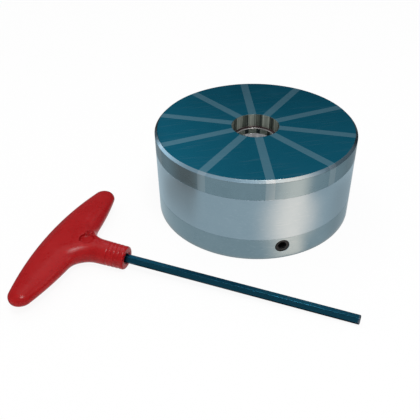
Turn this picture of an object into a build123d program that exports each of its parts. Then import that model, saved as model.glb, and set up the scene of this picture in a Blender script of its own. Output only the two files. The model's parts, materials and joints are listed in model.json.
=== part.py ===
from build123d import *
import os
from math import acos, asin, cos, radians, sin, tan

# Round permanent-magnet chuck with radial poles, switched by a T-handled hex key.
# Millimetres. Origin: centre of the base's underside. +Z points up through the magnetic face.
# The key socket looks out along -Y. Modelled switched off, with the key lying on the bench.

# Outer form
chuck_d = 160.0
base_h = 19.0
ring_h = 36.0
plate_h = 16.0
top_chamfer = 2.0
foot_chamfer = 0.6
joint_chamfer = 0.15
fit_gap = 0.05
thread_spare = 1.0
spare = 5.0

# Poles and the centre bore
pole_count = 10
spacer_w = 6.5
socket_to_spacer = 8.35
bore_d = 37.4
bore_depth = 11.0
bore_chamfer = 0.8
lip_d = 31.0

# Register, mounting holes, clamp screws and dowels
register_d = 90.0
register_depth = 3.0
mount_pcd = 110.0
mount_tap_d = 6.8
mount_tap_depth = 12.0
clamp_pcd = 146.0
clamp_d = 5.0
clamp_clear_d = 5.5
clamp_head_d = 8.5
clamp_head_h = 5.0
clamp_hex_af = 4.0
clamp_bore_d = 9.5
clamp_bore_depth = 6.0
clamp_bite = 10.0
dowel_d = 4.0
dowel_l = 12.0
dowel_chamfer = 0.4

# Housing cavity, centre tube and seals
cavity_d = 132.0
tube_d = 37.0
flange_d = 52.0
flange_h = 3.0
tube_mouth_chamfer = 0.5
tube_screw_r = 22.5
tube_screw_d = 3.0
tube_screw_head_d = 5.5
tube_screw_bite = 7.0
tube_screw_hex_af = 2.0
tube_screw_hex_h = 1.2
seal_inner_r = 67.2
seal_w = 2.0
seal_depth = 1.4
tube_seal_r = 17.0
tube_seal_w = 1.4
tube_seal_depth = 1.0

# Rotor
washer_h = 0.95
washer_d = 60.0
washer_chamfer = 0.2
carrier_gap = 1.0
carrier_h = 4.0
rotor_d = 130.0
rotor_top_gap = 0.4
hub_d = 51.6
hub_chamfer = 0.6
magnet_t = 8.0
magnet_l = 36.5
magnet_h = 30.0
magnet_chamfer = 0.4
magnet_from_hub = 1.0
pole_screw_r = 50.0
pole_screw_d = 4.0
pole_screw_head_d = 7.5
pole_screw_l = 14.0
pole_screw_hex_af = 2.5
pole_screw_hex_h = 1.6
stop_r = 58.0
stop_d = 5.0
stop_depth = 9.0
stop_chamfer = 0.5
stop_below_carrier = 0.4
stop_gap = 0.3
throw_deg = 18.0

# Crown gear and pinion
gear_module = 1.0
crown_r = 40.0
crown_w = 6.0
crown_face_w = 5.0
crown_teeth = 8
crown_addendum = 0.8
crown_root = 1.1
crown_tooth_t = 1.2
crown_end_deg = 9.0
crown_screw_d = 3.0
crown_screw_l = 6.0
crown_screw_head_d = 5.0
crown_screw_head_h = 1.5
pinion_teeth = 8
pinion_w = 4.0
pinion_tooth_t = 1.4
pinion_tip_r = 4.9
pinion_root_r = 2.9
pinion_tooth_foot = 0.4
pressure_deg = 20.0
groove_inner_r = 35.5
groove_outer_r = 45.5
groove_floor_z = 13.5
pocket_half_w = 6.6
pocket_floor_z = 5.2
pocket_outer = 44.5
mouth_depth = 2.0

# Drive spindle and its bush, seal and clip
spindle_z = 11.66
spindle_d = 10.8
spindle_recess = 0.7
spindle_chamfer = 0.5
mouth_chamfer = 0.4
socket_af = 6.1
socket_depth = 12.0
land_r = 4.2
land_w = 0.4
shoulder_gap = 0.5
shoulder_chamfer = 0.3
journal_r = 2.25
journal_end = 28.8
bush_r = 4.5
bush_inner = 28.0
bush_flange_r = 5.0
bush_flange_w = 1.0
bush_end_gap = 0.1
thrust_gap = 0.1
clip_inner = 43.5
clip_w = 0.8
clip_r = 6.2
clip_groove_r = 3.3
clip_opening = 5.3
spindle_seal = 68.0
spindle_seal_w = 2.4
spindle_seal_r = 4.2

# Hex key
key_af = 6.0
key_blade_l = 170.5
key_embed = 30.0
key_tip_chamfer = 0.5
key_hub_end = (-114.43, -63.64)
key_azimuth = -31.88
hub_r = 8.8
hub_round_l = 16.0
hub_root_w = 11.2
hub_root_t = 8.4
hub_edge = 1.6
hub_mouth_d = 9.0
hub_mouth_depth = 2.0
hub_fillet = 12.0
ring_grooves = (-13.7, -10.5, -7.3, -4.1)
ring_groove_w = 0.8
ring_groove_depth = 0.4
bar_x = -50.7
bar_half_l = 67.2
bar_sections = ((0.0, 16.4, 9.0), (0.55, 13.4, 7.6), (1.0, 7.4, 5.0))
bar_tip_round = 4.0
dish_place = (-31.8, 1.0)
dish_d = 10.0
dish_depth = 1.6

# Places worked out from the dimensions above
chuck_r = chuck_d / 2
plate_z = base_h + ring_h
top_z = plate_z + plate_h
ledge_z = top_z - bore_depth
clamp_r = clamp_pcd / 2
tube_r = tube_d / 2
flange_top_z = register_depth + flange_h
seal_outer_r = seal_inner_r + seal_w
carrier_z = base_h + carrier_gap
rotor_z = carrier_z + carrier_h
rotor_top_z = plate_z - rotor_top_gap
hub_outer_r = hub_d / 2
pitch = 360.0 / pole_count
first_spacer = -90.0 - socket_to_spacer
first_sector = first_spacer + pitch / 2
stop_azimuth = first_sector + 4 * pitch - throw_deg / 2
spindle_r = spindle_d / 2
spindle_end = chuck_r - spindle_recess
mouth_r = spindle_r + fit_gap + mouth_chamfer
pinion_r = gear_module * pinion_teeth / 2
pitch_plane_z = spindle_z + pinion_r
crown_step = 360.0 * gear_module / (2 * crown_r)
crown_span = crown_teeth * crown_step
crown_centre = -90.0 + throw_deg / 2
crown_screw_apart = crown_span + crown_end_deg
crown_screw_azimuth = crown_centre - crown_screw_apart / 2
crown_root_z = pitch_plane_z + crown_root
bush_face = groove_inner_r + bush_flange_w
key_drop = asin((hub_r - key_af / 2) / key_blade_l)
wedge_apex = spacer_w / 2 / sin(radians(pitch / 2))
magnet_apex = magnet_t / 2 / sin(radians(pitch / 2))


def turned(azimuth, height):
    """A level plane at a height, its x axis turned to the azimuth."""
    a = radians(azimuth)
    return Plane(origin=(0, 0, height), x_dir=(cos(a), sin(a), 0), z_dir=(0, 0, 1))


def facing_down(azimuth, height):
    """The same, facing down."""
    a = radians(azimuth)
    return Plane(origin=(0, 0, height), x_dir=(cos(a), sin(a), 0), z_dir=(0, 0, -1))


# The spindle's axis points out of the socket: its section has x along -Y and y upwards.
spindle_axis = Axis((0, 0, spindle_z), (0, -1, 0))
spindle_section = Plane(origin=(0, 0, spindle_z), x_dir=(0, -1, 0), z_dir=(-1, 0, 0))


def across_spindle(distance):
    """A plane across the spindle, facing out, at a distance from the chuck's axis."""
    return Plane(origin=(0, -distance, spindle_z), x_dir=(1, 0, 0), z_dir=(0, -1, 0))


# The key's own plane: x along the blade from the hub's end, z up out of the T.
key_a = radians(key_azimuth)
key_plane = Plane(
    origin=(key_hub_end[0], key_hub_end[1], hub_r),
    x_dir=(cos(key_a) * cos(key_drop), sin(key_a) * cos(key_drop), -sin(key_drop)),
    z_dir=(cos(key_a) * sin(key_drop), sin(key_a) * sin(key_drop), cos(key_drop)),
)
key_axis = Axis(key_plane.origin, key_plane.x_dir)
key_section = Plane(origin=key_plane.origin, x_dir=key_plane.x_dir, z_dir=-key_plane.y_dir)


def key_cross(x):
    """A plane across the key's blade, facing the tip, x mm from the hub's end."""
    origin = key_plane.from_local_coords((x, 0, 0))
    return Plane(origin=origin, x_dir=key_plane.y_dir, z_dir=key_plane.x_dir)


def bar_cross(y):
    """A plane across the T's bar, y mm from its middle."""
    origin = key_plane.from_local_coords((bar_x, y, 0))
    return Plane(origin=origin, x_dir=key_plane.x_dir, z_dir=key_plane.y_dir)


def keep_wedge(apex, half_angle, reach):
    """Keeps a triangle that opens along x from its apex to past the reach."""
    far = reach + spare
    half_w = (far - apex) * tan(radians(half_angle))
    return Polygon((apex, 0), (far, -half_w), (far, half_w), align=None, mode=Mode.INTERSECT)


os.makedirs("parts", exist_ok=True)


# Base plate: register and tapped holes below, gear groove and spindle bore inside
with BuildPart() as base_plate:
    with BuildSketch(Plane.XZ):
        Polygon(
            (tube_r + fit_gap, flange_top_z),
            (flange_d / 2 + fit_gap, flange_top_z),
            (flange_d / 2 + fit_gap, register_depth),
            (register_d / 2, register_depth),
            (register_d / 2, 0),
            (chuck_r - foot_chamfer, 0),
            (chuck_r, foot_chamfer),
            (chuck_r, base_h - joint_chamfer),
            (chuck_r - joint_chamfer, base_h),
            (seal_outer_r, base_h),
            (seal_outer_r, base_h - seal_depth),
            (seal_inner_r, base_h - seal_depth),
            (seal_inner_r, base_h),
            (groove_outer_r, base_h),
            (groove_outer_r, groove_floor_z),
            (groove_inner_r, groove_floor_z),
            (groove_inner_r, base_h),
            (tube_r + fit_gap, base_h),
            align=None,
        )
    revolve(axis=Axis.Z)
    # Tapped holes for fixing the chuck to a table
    with BuildSketch(turned(45, 0)):
        with PolarLocations(mount_pcd / 2, 4):
            Circle(mount_tap_d / 2)
    extrude(amount=mount_tap_depth, mode=Mode.SUBTRACT)
    # Clamp screw holes and the counterbores of their heads
    with BuildSketch(turned(first_sector, 0)):
        with PolarLocations(clamp_r, pole_count):
            Circle(clamp_clear_d / 2)
    extrude(amount=base_h, mode=Mode.SUBTRACT)
    with BuildSketch(turned(first_sector, 0)):
        with PolarLocations(clamp_r, pole_count):
            Circle(clamp_bore_d / 2)
    extrude(amount=clamp_bore_depth, mode=Mode.SUBTRACT)
    # Dowel and stop pin holes
    with BuildSketch(turned(first_spacer, base_h)):
        with PolarLocations(clamp_r, 2):
            Circle(dowel_d / 2 + fit_gap)
    extrude(amount=-dowel_l / 2, mode=Mode.SUBTRACT)
    with BuildSketch(turned(stop_azimuth, base_h)):
        with Locations((stop_r, 0)):
            Circle(stop_d / 2 + fit_gap)
    extrude(amount=-stop_depth, mode=Mode.SUBTRACT)
    # Tapped holes of the tube's flange
    with BuildSketch(turned(45, flange_top_z)):
        with PolarLocations(tube_screw_r, 4):
            Circle(tube_screw_d / 2 + fit_gap)
    extrude(amount=tube_screw_bite, mode=Mode.SUBTRACT)
    # Pinion pocket under the groove
    with BuildSketch(Plane.XY.offset(pocket_floor_z)):
        with Locations((0, -(groove_inner_r + pocket_outer) / 2)):
            Rectangle(2 * pocket_half_w, pocket_outer - groove_inner_r)
    extrude(amount=groove_floor_z - pocket_floor_z, mode=Mode.SUBTRACT)
    # Spindle bore with its chamfered mouth, and the blind seat of the bush
    with BuildSketch(across_spindle(pocket_outer)):
        Circle(spindle_r + fit_gap)
    extrude(amount=chuck_r - pocket_outer, mode=Mode.SUBTRACT)
    with BuildSketch(spindle_section):
        Polygon(
            (chuck_r - mouth_depth, 0),
            (chuck_r - mouth_depth, mouth_r - mouth_depth),
            (chuck_r + mouth_depth, mouth_r + mouth_depth),
            (chuck_r + mouth_depth, 0),
            align=None,
        )
    revolve(axis=spindle_axis, mode=Mode.SUBTRACT)
    with BuildSketch(across_spindle(bush_inner)):
        Circle(bush_r + fit_gap)
    extrude(amount=groove_inner_r - bush_inner, mode=Mode.SUBTRACT)
base_plate.part.label = "base_plate"
export_step(base_plate.part, "parts/base_plate.step")


# Housing ring round the rotor
with BuildPart() as housing_ring:
    with BuildSketch(Plane.XZ):
        Polygon(
            (cavity_d / 2, base_h),
            (chuck_r - joint_chamfer, base_h),
            (chuck_r, base_h + joint_chamfer),
            (chuck_r, plate_z - joint_chamfer),
            (chuck_r - joint_chamfer, plate_z),
            (seal_outer_r, plate_z),
            (seal_outer_r, plate_z - seal_depth),
            (seal_inner_r, plate_z - seal_depth),
            (seal_inner_r, plate_z),
            (cavity_d / 2, plate_z),
            align=None,
        )
    revolve(axis=Axis.Z)
    with BuildSketch(turned(first_sector, base_h)):
        with PolarLocations(clamp_r, pole_count):
            Circle(clamp_clear_d / 2)
    extrude(amount=ring_h, mode=Mode.SUBTRACT)
    with BuildSketch(turned(first_spacer, base_h)):
        with PolarLocations(clamp_r, 2):
            Circle(dowel_d / 2 + fit_gap)
    extrude(amount=dowel_l / 2, mode=Mode.SUBTRACT)
    with BuildSketch(turned(first_spacer, plate_z)):
        with PolarLocations(clamp_r, 2):
            Circle(dowel_d / 2 + fit_gap)
    extrude(amount=-dowel_l / 2, mode=Mode.SUBTRACT)
housing_ring.part.label = "housing_ring"
export_step(housing_ring.part, "parts/housing_ring.step")


# The pole plate's radial section: a counterbored disc with a chamfered rim
plate_section = (
    (lip_d / 2, plate_z),
    (chuck_r - joint_chamfer, plate_z),
    (chuck_r, plate_z + joint_chamfer),
    (chuck_r, top_z - top_chamfer),
    (chuck_r - top_chamfer, top_z),
    (bore_d / 2 + bore_chamfer, top_z),
    (bore_d / 2, top_z - bore_chamfer),
    (bore_d / 2, ledge_z),
    (lip_d / 2, ledge_z),
)

for i in range(pole_count):
    # Steel pole: the disc cut by the faces of the two spacers beside it
    azimuth = first_sector + i * pitch
    with BuildPart() as pole_sector:
        with BuildSketch(Plane.XZ):
            Polygon(*plate_section, align=None)
        revolve(axis=Axis.Z)
        with BuildSketch(turned(azimuth, plate_z)):
            Circle(chuck_r + spare)
            keep_wedge(wedge_apex, pitch / 2, chuck_r)
        extrude(amount=plate_h, mode=Mode.INTERSECT)
        with BuildSketch(turned(azimuth, plate_z)):
            with Locations((clamp_r, 0)):
                Circle(clamp_d / 2 + fit_gap)
        extrude(amount=clamp_bite + thread_spare, mode=Mode.SUBTRACT)
    pole_sector.part.label = f"pole_sector_{i + 1:02d}"
    export_step(pole_sector.part, f"parts/pole_sector_{i + 1:02d}.step")

    # Non-magnetic spacer: a parallel bar across the same disc
    azimuth = first_spacer + i * pitch
    with BuildPart() as spacer:
        with BuildSketch(Plane.XZ):
            Polygon(*plate_section, align=None)
        revolve(axis=Axis.Z)
        with BuildSketch(turned(azimuth, plate_z)):
            with Locations((chuck_r / 2 + spare, 0)):
                Rectangle(chuck_r, spacer_w)
        extrude(amount=plate_h, mode=Mode.INTERSECT)
        if i % (pole_count // 2) == 0:
            with BuildSketch(turned(azimuth, plate_z)):
                with Locations((clamp_r, 0)):
                    Circle(dowel_d / 2 + fit_gap)
            extrude(amount=dowel_l / 2, mode=Mode.SUBTRACT)
    spacer.part.label = f"spacer_{i + 1:02d}"
    export_step(spacer.part, f"parts/spacer_{i + 1:02d}.step")


# Centre tube: keeps the through-bore apart from the rotor's chamber and carries the rotor
with BuildPart() as centre_tube:
    with BuildSketch(Plane.XZ):
        Polygon(
            (lip_d / 2, register_depth + tube_mouth_chamfer),
            (lip_d / 2 + tube_mouth_chamfer, register_depth),
            (flange_d / 2, register_depth),
            (flange_d / 2, flange_top_z),
            (tube_r, flange_top_z),
            (tube_r, plate_z),
            (tube_seal_r + tube_seal_w / 2, plate_z),
            (tube_seal_r + tube_seal_w / 2, plate_z - tube_seal_depth),
            (tube_seal_r - tube_seal_w / 2, plate_z - tube_seal_depth),
            (tube_seal_r - tube_seal_w / 2, plate_z),
            (lip_d / 2, plate_z),
            align=None,
        )
    revolve(axis=Axis.Z)
    with Locations(facing_down(45, register_depth)):
        with PolarLocations(tube_screw_r, 4):
            CounterSinkHole(tube_screw_d / 2 + fit_gap, tube_screw_head_d / 2 + fit_gap, depth=flange_h)
centre_tube.part.label = "centre_tube"
export_step(centre_tube.part, "parts/centre_tube.step")


# Countersunk screws of the tube's flange, from below
with BuildPart() as tube_screws:
    with BuildSketch(turned(45, register_depth)):
        with PolarLocations(tube_screw_r, 4):
            Circle(tube_screw_head_d / 2)
    extrude(amount=(tube_screw_head_d - tube_screw_d) / 2, taper=45)
    with BuildSketch(turned(45, register_depth)):
        with PolarLocations(tube_screw_r, 4):
            Circle(tube_screw_d / 2)
    extrude(amount=flange_h + tube_screw_bite - thread_spare)
    with BuildSketch(turned(45, register_depth)):
        with PolarLocations(tube_screw_r, 4):
            RegularPolygon(tube_screw_hex_af / 2, 6, major_radius=False)
    extrude(amount=tube_screw_hex_h, mode=Mode.SUBTRACT)
tube_screws.part.label = "tube_screws"
export_step(tube_screws.part, "parts/tube_screws.step")


# Clamp screws: socket heads in the base, threads in the pole sectors
with BuildPart() as clamp_screws:
    with BuildSketch(turned(first_sector, clamp_bore_depth - clamp_head_h)):
        with PolarLocations(clamp_r, pole_count):
            Circle(clamp_head_d / 2)
    extrude(amount=clamp_head_h)
    with BuildSketch(turned(first_sector, clamp_bore_depth)):
        with PolarLocations(clamp_r, pole_count):
            Circle(clamp_d / 2)
    extrude(amount=plate_z + clamp_bite - clamp_bore_depth)
    with BuildSketch(turned(first_sector, clamp_bore_depth - clamp_head_h)):
        with PolarLocations(clamp_r, pole_count):
            RegularPolygon(clamp_hex_af / 2, 6, major_radius=False)
    extrude(amount=clamp_head_h / 2, mode=Mode.SUBTRACT)
clamp_screws.part.label = "clamp_screws"
export_step(clamp_screws.part, "parts/clamp_screws.step")


# Dowels that line the ring up with the base and the pole plate with the ring
with BuildPart() as dowel_pins:
    for joint_z in (base_h, plate_z):
        with BuildSketch(turned(first_spacer, joint_z - dowel_l / 2)):
            with PolarLocations(clamp_r, 2):
                Circle(dowel_d / 2)
        extrude(amount=dowel_l)
    chamfer(dowel_pins.edges().filter_by(GeomType.CIRCLE), dowel_chamfer)
dowel_pins.part.label = "dowel_pins"
export_step(dowel_pins.part, "parts/dowel_pins.step")


# Flat seals in their grooves: two under and over the ring, one at the tube's end
with BuildPart() as ring_seals:
    with BuildSketch(Plane.XZ):
        for groove_z in (base_h - seal_depth, plate_z - seal_depth):
            with Locations((seal_inner_r + seal_w / 2, groove_z + seal_depth / 2)):
                Rectangle(seal_w - 2 * fit_gap, seal_depth)
    revolve(axis=Axis.Z)
ring_seals.part.label = "ring_seals"
export_step(ring_seals.part, "parts/ring_seals.step")

with BuildPart() as tube_seal:
    with BuildSketch(Plane.XZ):
        with Locations((tube_seal_r, plate_z - tube_seal_depth / 2)):
            Rectangle(tube_seal_w - 2 * fit_gap, tube_seal_depth)
    revolve(axis=Axis.Z)
tube_seal.part.label = "tube_seal"
export_step(tube_seal.part, "parts/tube_seal.step")


# Thrust washer under the rotor
with BuildPart() as thrust_washer:
    with BuildSketch(Plane.XY.offset(base_h)):
        Circle(washer_d / 2)
        Circle(tube_r + 2 * fit_gap, mode=Mode.SUBTRACT)
    extrude(amount=washer_h)
    chamfer(thrust_washer.edges().group_by(Axis.Z)[-1], washer_chamfer)
thrust_washer.part.label = "thrust_washer"
export_step(thrust_washer.part, "parts/thrust_washer.step")


# Stop pin standing in the carrier's slot
with BuildPart() as stop_pin:
    with BuildSketch(turned(stop_azimuth, base_h - stop_depth)):
        with Locations((stop_r, 0)):
            Circle(stop_d / 2)
    extrude(amount=stop_depth + carrier_gap + carrier_h - stop_below_carrier)
    chamfer(stop_pin.edges().group_by(Axis.Z)[-1], stop_chamfer)
stop_pin.part.label = "stop_pin"
export_step(stop_pin.part, "parts/stop_pin.step")


# Rotor carrier: a hub that runs on the centre tube and a disc under the magnets
with BuildPart() as rotor_carrier:
    with BuildSketch(Plane.XZ):
        Polygon(
            (tube_r + fit_gap, carrier_z),
            (rotor_d / 2, carrier_z),
            (rotor_d / 2, rotor_z),
            (hub_outer_r, rotor_z),
            (hub_outer_r, rotor_top_z - hub_chamfer),
            (hub_outer_r - hub_chamfer, rotor_top_z),
            (tube_r + fit_gap + hub_chamfer, rotor_top_z),
            (tube_r + fit_gap, rotor_top_z - hub_chamfer),
            align=None,
        )
    revolve(axis=Axis.Z)
    with Locations(facing_down(first_spacer, carrier_z)):
        with PolarLocations(pole_screw_r, pole_count):
            CounterSinkHole(pole_screw_d / 2 + fit_gap, pole_screw_head_d / 2 + fit_gap, depth=carrier_h)
    # Arc slot of the stop pin: as long as the throw
    with BuildSketch(turned(stop_azimuth, carrier_z)):
        with BuildLine() as slot_line:
            CenterArc((0, 0), stop_r, 0, throw_deg)
        SlotArc(slot_line.wire(), stop_d + 2 * stop_gap)
    extrude(amount=carrier_h, mode=Mode.SUBTRACT)
    # Tapped holes of the crown gear's two screws
    with BuildSketch(turned(crown_screw_azimuth, carrier_z)):
        with PolarLocations(crown_r, 2, angular_range=crown_screw_apart, endpoint=True):
            Circle(crown_screw_d / 2 + fit_gap)
    extrude(amount=carrier_h, mode=Mode.SUBTRACT)
rotor_carrier.part.label = "rotor_carrier"
export_step(rotor_carrier.part, "parts/rotor_carrier.step")


# Rotor poles and magnets, by turns round the hub
for i in range(pole_count):
    with BuildPart() as rotor_pole:
        with BuildSketch(turned(first_spacer + i * pitch, rotor_z)):
            Circle(rotor_d / 2)
            Circle(hub_outer_r, mode=Mode.SUBTRACT)
            keep_wedge(magnet_apex, pitch / 2, rotor_d / 2)
        extrude(amount=rotor_top_z - rotor_z)
        with BuildSketch(turned(first_spacer + i * pitch, rotor_z)):
            with Locations((pole_screw_r, 0)):
                Circle(pole_screw_d / 2 + fit_gap)
        extrude(amount=pole_screw_l - carrier_h + thread_spare, mode=Mode.SUBTRACT)
    rotor_pole.part.label = f"rotor_pole_{i + 1:02d}"
    export_step(rotor_pole.part, f"parts/rotor_pole_{i + 1:02d}.step")

    with BuildPart() as magnet:
        with BuildSketch(turned(first_sector + i * pitch, rotor_z)):
            with Locations((hub_outer_r + magnet_from_hub + magnet_l / 2, 0)):
                Rectangle(magnet_l, magnet_t)
        extrude(amount=magnet_h)
        chamfer(magnet.edges().filter_by(Axis.Z), magnet_chamfer)
    magnet.part.label = f"magnet_{i + 1:02d}"
    export_step(magnet.part, f"parts/magnet_{i + 1:02d}.step")


# Countersunk screws that hold the rotor poles to the carrier
with BuildPart() as pole_screws:
    with BuildSketch(turned(first_spacer, carrier_z)):
        with PolarLocations(pole_screw_r, pole_count):
            Circle(pole_screw_head_d / 2)
    extrude(amount=(pole_screw_head_d - pole_screw_d) / 2, taper=45)
    with BuildSketch(turned(first_spacer, carrier_z)):
        with PolarLocations(pole_screw_r, pole_count):
            Circle(pole_screw_d / 2)
    extrude(amount=pole_screw_l)
    with BuildSketch(turned(first_spacer, carrier_z)):
        with PolarLocations(pole_screw_r, pole_count):
            RegularPolygon(pole_screw_hex_af / 2, 6, major_radius=False)
    extrude(amount=pole_screw_hex_h, mode=Mode.SUBTRACT)
pole_screws.part.label = "pole_screws"
export_step(pole_screws.part, "parts/pole_screws.step")


# Crown gear: a ring sector under the carrier with straight-flanked teeth facing down
with BuildPart() as crown_gear:
    with BuildSketch(turned(crown_centre, crown_root_z)):
        Circle(crown_r + crown_w / 2)
        Circle(crown_r - crown_w / 2, mode=Mode.SUBTRACT)
        keep_wedge(0, crown_span / 2 + crown_end_deg, chuck_r)
    extrude(amount=carrier_z - crown_root_z)
    flank = tan(radians(pressure_deg))
    root_half_t = crown_tooth_t / 2 + crown_root * flank
    tip_half_t = crown_tooth_t / 2 - crown_addendum * flank
    tooth_h = crown_root + crown_addendum
    for k in range(crown_teeth):
        a = radians(crown_centre + (k - (crown_teeth - 1) / 2) * crown_step)
        near_r = crown_r - crown_face_w / 2
        tooth_plane = Plane(
            origin=(near_r * cos(a), near_r * sin(a), crown_root_z),
            x_dir=(-sin(a), cos(a), 0),
            z_dir=(cos(a), sin(a), 0),
        )
        with BuildSketch(tooth_plane):
            Polygon(
                (-root_half_t, 0),
                (-tip_half_t, -tooth_h),
                (tip_half_t, -tooth_h),
                (root_half_t, 0),
                align=None,
            )
        extrude(amount=crown_face_w)
    with BuildSketch(turned(crown_screw_azimuth, crown_root_z)):
        with PolarLocations(crown_r, 2, angular_range=crown_screw_apart, endpoint=True):
            Circle(crown_screw_d / 2 + fit_gap)
    extrude(amount=carrier_z - crown_root_z, mode=Mode.SUBTRACT)
crown_gear.part.label = "crown_gear"
export_step(crown_gear.part, "parts/crown_gear.step")


# Low-headed screws of the crown gear
with BuildPart() as crown_screws:
    with BuildSketch(turned(crown_screw_azimuth, crown_root_z - crown_screw_head_h)):
        with PolarLocations(crown_r, 2, angular_range=crown_screw_apart, endpoint=True):
            Circle(crown_screw_head_d / 2)
    extrude(amount=crown_screw_head_h)
    with BuildSketch(turned(crown_screw_azimuth, crown_root_z)):
        with PolarLocations(crown_r, 2, angular_range=crown_screw_apart, endpoint=True):
            Circle(crown_screw_d / 2)
    extrude(amount=crown_screw_l)
crown_screws.part.label = "crown_screws"
export_step(crown_screws.part, "parts/crown_screws.step")


# Pinion tooth, pointing up: involute flanks, radial below the base circle, a round tip
base_circle_r = pinion_r * cos(radians(pressure_deg))
flank_radii = (base_circle_r, pinion_r, (pinion_r + pinion_tip_r) / 2, pinion_tip_r)


def tooth_half_angle(radius):
    """Half the tooth's angle at a radius, from the involute of the base circle."""
    roll = acos(base_circle_r / radius)
    pitch_roll = radians(pressure_deg)
    return pinion_tooth_t / (2 * pinion_r) - (tan(roll) - roll) + (tan(pitch_roll) - pitch_roll)


def tooth_point(radius, angle):
    """A point at a radius, turned by an angle in radians from the tooth's centre line."""
    return (radius * sin(angle), radius * cos(angle))


with BuildSketch() as pinion_tooth:
    with BuildLine():
        right = Spline(*[tooth_point(r, tooth_half_angle(r)) for r in flank_radii])
        left = Spline(*[tooth_point(r, -tooth_half_angle(r)) for r in flank_radii])
        ThreePointArc(right @ 1, (0, pinion_tip_r), left @ 1)
        foot_angle = tooth_half_angle(base_circle_r)
        Polyline(
            right @ 0,
            tooth_point(pinion_root_r - pinion_tooth_foot, foot_angle),
            tooth_point(pinion_root_r - pinion_tooth_foot, -foot_angle),
            left @ 0,
        )
    make_face()


# Drive spindle: hex socket, sealed journal, clip groove, pinion and inner journal in one piece
with BuildPart() as drive_spindle:
    with BuildSketch(spindle_section):
        Polygon(
            (journal_end, 0),
            (journal_end, journal_r),
            (bush_face + thrust_gap, journal_r),
            (bush_face + thrust_gap, pinion_root_r),
            (clip_inner - land_w, pinion_root_r),
            (clip_inner - land_w, land_r),
            (clip_inner, land_r),
            (clip_inner, clip_groove_r),
            (clip_inner + clip_w, clip_groove_r),
            (clip_inner + clip_w, land_r),
            (pocket_outer + shoulder_gap, land_r),
            (pocket_outer + shoulder_gap, spindle_r - shoulder_chamfer),
            (pocket_outer + shoulder_gap + shoulder_chamfer, spindle_r),
            (spindle_seal, spindle_r),
            (spindle_seal, spindle_seal_r),
            (spindle_seal + spindle_seal_w, spindle_seal_r),
            (spindle_seal + spindle_seal_w, spindle_r),
            (spindle_end - spindle_chamfer, spindle_r),
            (spindle_end, spindle_r - spindle_chamfer),
            (spindle_end, 0),
            align=None,
        )
    revolve(axis=spindle_axis)
    with BuildSketch(across_spindle(crown_r - pinion_w / 2)):
        with PolarLocations(0, pinion_teeth):
            add(pinion_tooth.sketch)
    extrude(amount=pinion_w)
    with BuildSketch(across_spindle(spindle_end - socket_depth)):
        RegularPolygon(socket_af / 2, 6, major_radius=False)
    extrude(amount=socket_depth, mode=Mode.SUBTRACT)
    with BuildSketch(spindle_section):
        Polygon(
            (spindle_end - mouth_chamfer, 0),
            (spindle_end - mouth_chamfer, socket_af / 2),
            (spindle_end, socket_af / 2 + mouth_chamfer),
            (spindle_end, 0),
            align=None,
        )
    revolve(axis=spindle_axis, mode=Mode.SUBTRACT)
drive_spindle.part.label = "drive_spindle"
export_step(drive_spindle.part, "parts/drive_spindle.step")


# Retaining clip on the spindle, open at one side
with BuildPart() as spindle_clip:
    with BuildSketch(across_spindle(clip_inner)):
        Circle(clip_r)
        Circle(clip_groove_r + fit_gap, mode=Mode.SUBTRACT)
        with Locations((0, -clip_r)):
            Rectangle(clip_opening, 2 * clip_r, mode=Mode.SUBTRACT)
    extrude(amount=clip_w)
spindle_clip.part.label = "spindle_clip"
export_step(spindle_clip.part, "parts/spindle_clip.step")


# Flanged bush of the inner journal
with BuildPart() as spindle_bush:
    with BuildSketch(spindle_section):
        Polygon(
            (bush_inner + bush_end_gap, journal_r + fit_gap),
            (bush_inner + bush_end_gap, bush_r),
            (groove_inner_r, bush_r),
            (groove_inner_r, bush_flange_r),
            (bush_face, bush_flange_r),
            (bush_face, journal_r + fit_gap),
            align=None,
        )
    revolve(axis=spindle_axis)
spindle_bush.part.label = "spindle_bush"
export_step(spindle_bush.part, "parts/spindle_bush.step")


# Seal in the spindle's groove
with BuildPart() as spindle_seal_ring:
    with BuildSketch(spindle_section):
        seal_h = spindle_r - spindle_seal_r
        with Locations((spindle_seal + spindle_seal_w / 2, spindle_seal_r + seal_h / 2)):
            Rectangle(spindle_seal_w - 2 * fit_gap, seal_h)
    revolve(axis=spindle_axis)
spindle_seal_ring.part.label = "spindle_seal"
export_step(spindle_seal_ring.part, "parts/spindle_seal.step")


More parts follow.
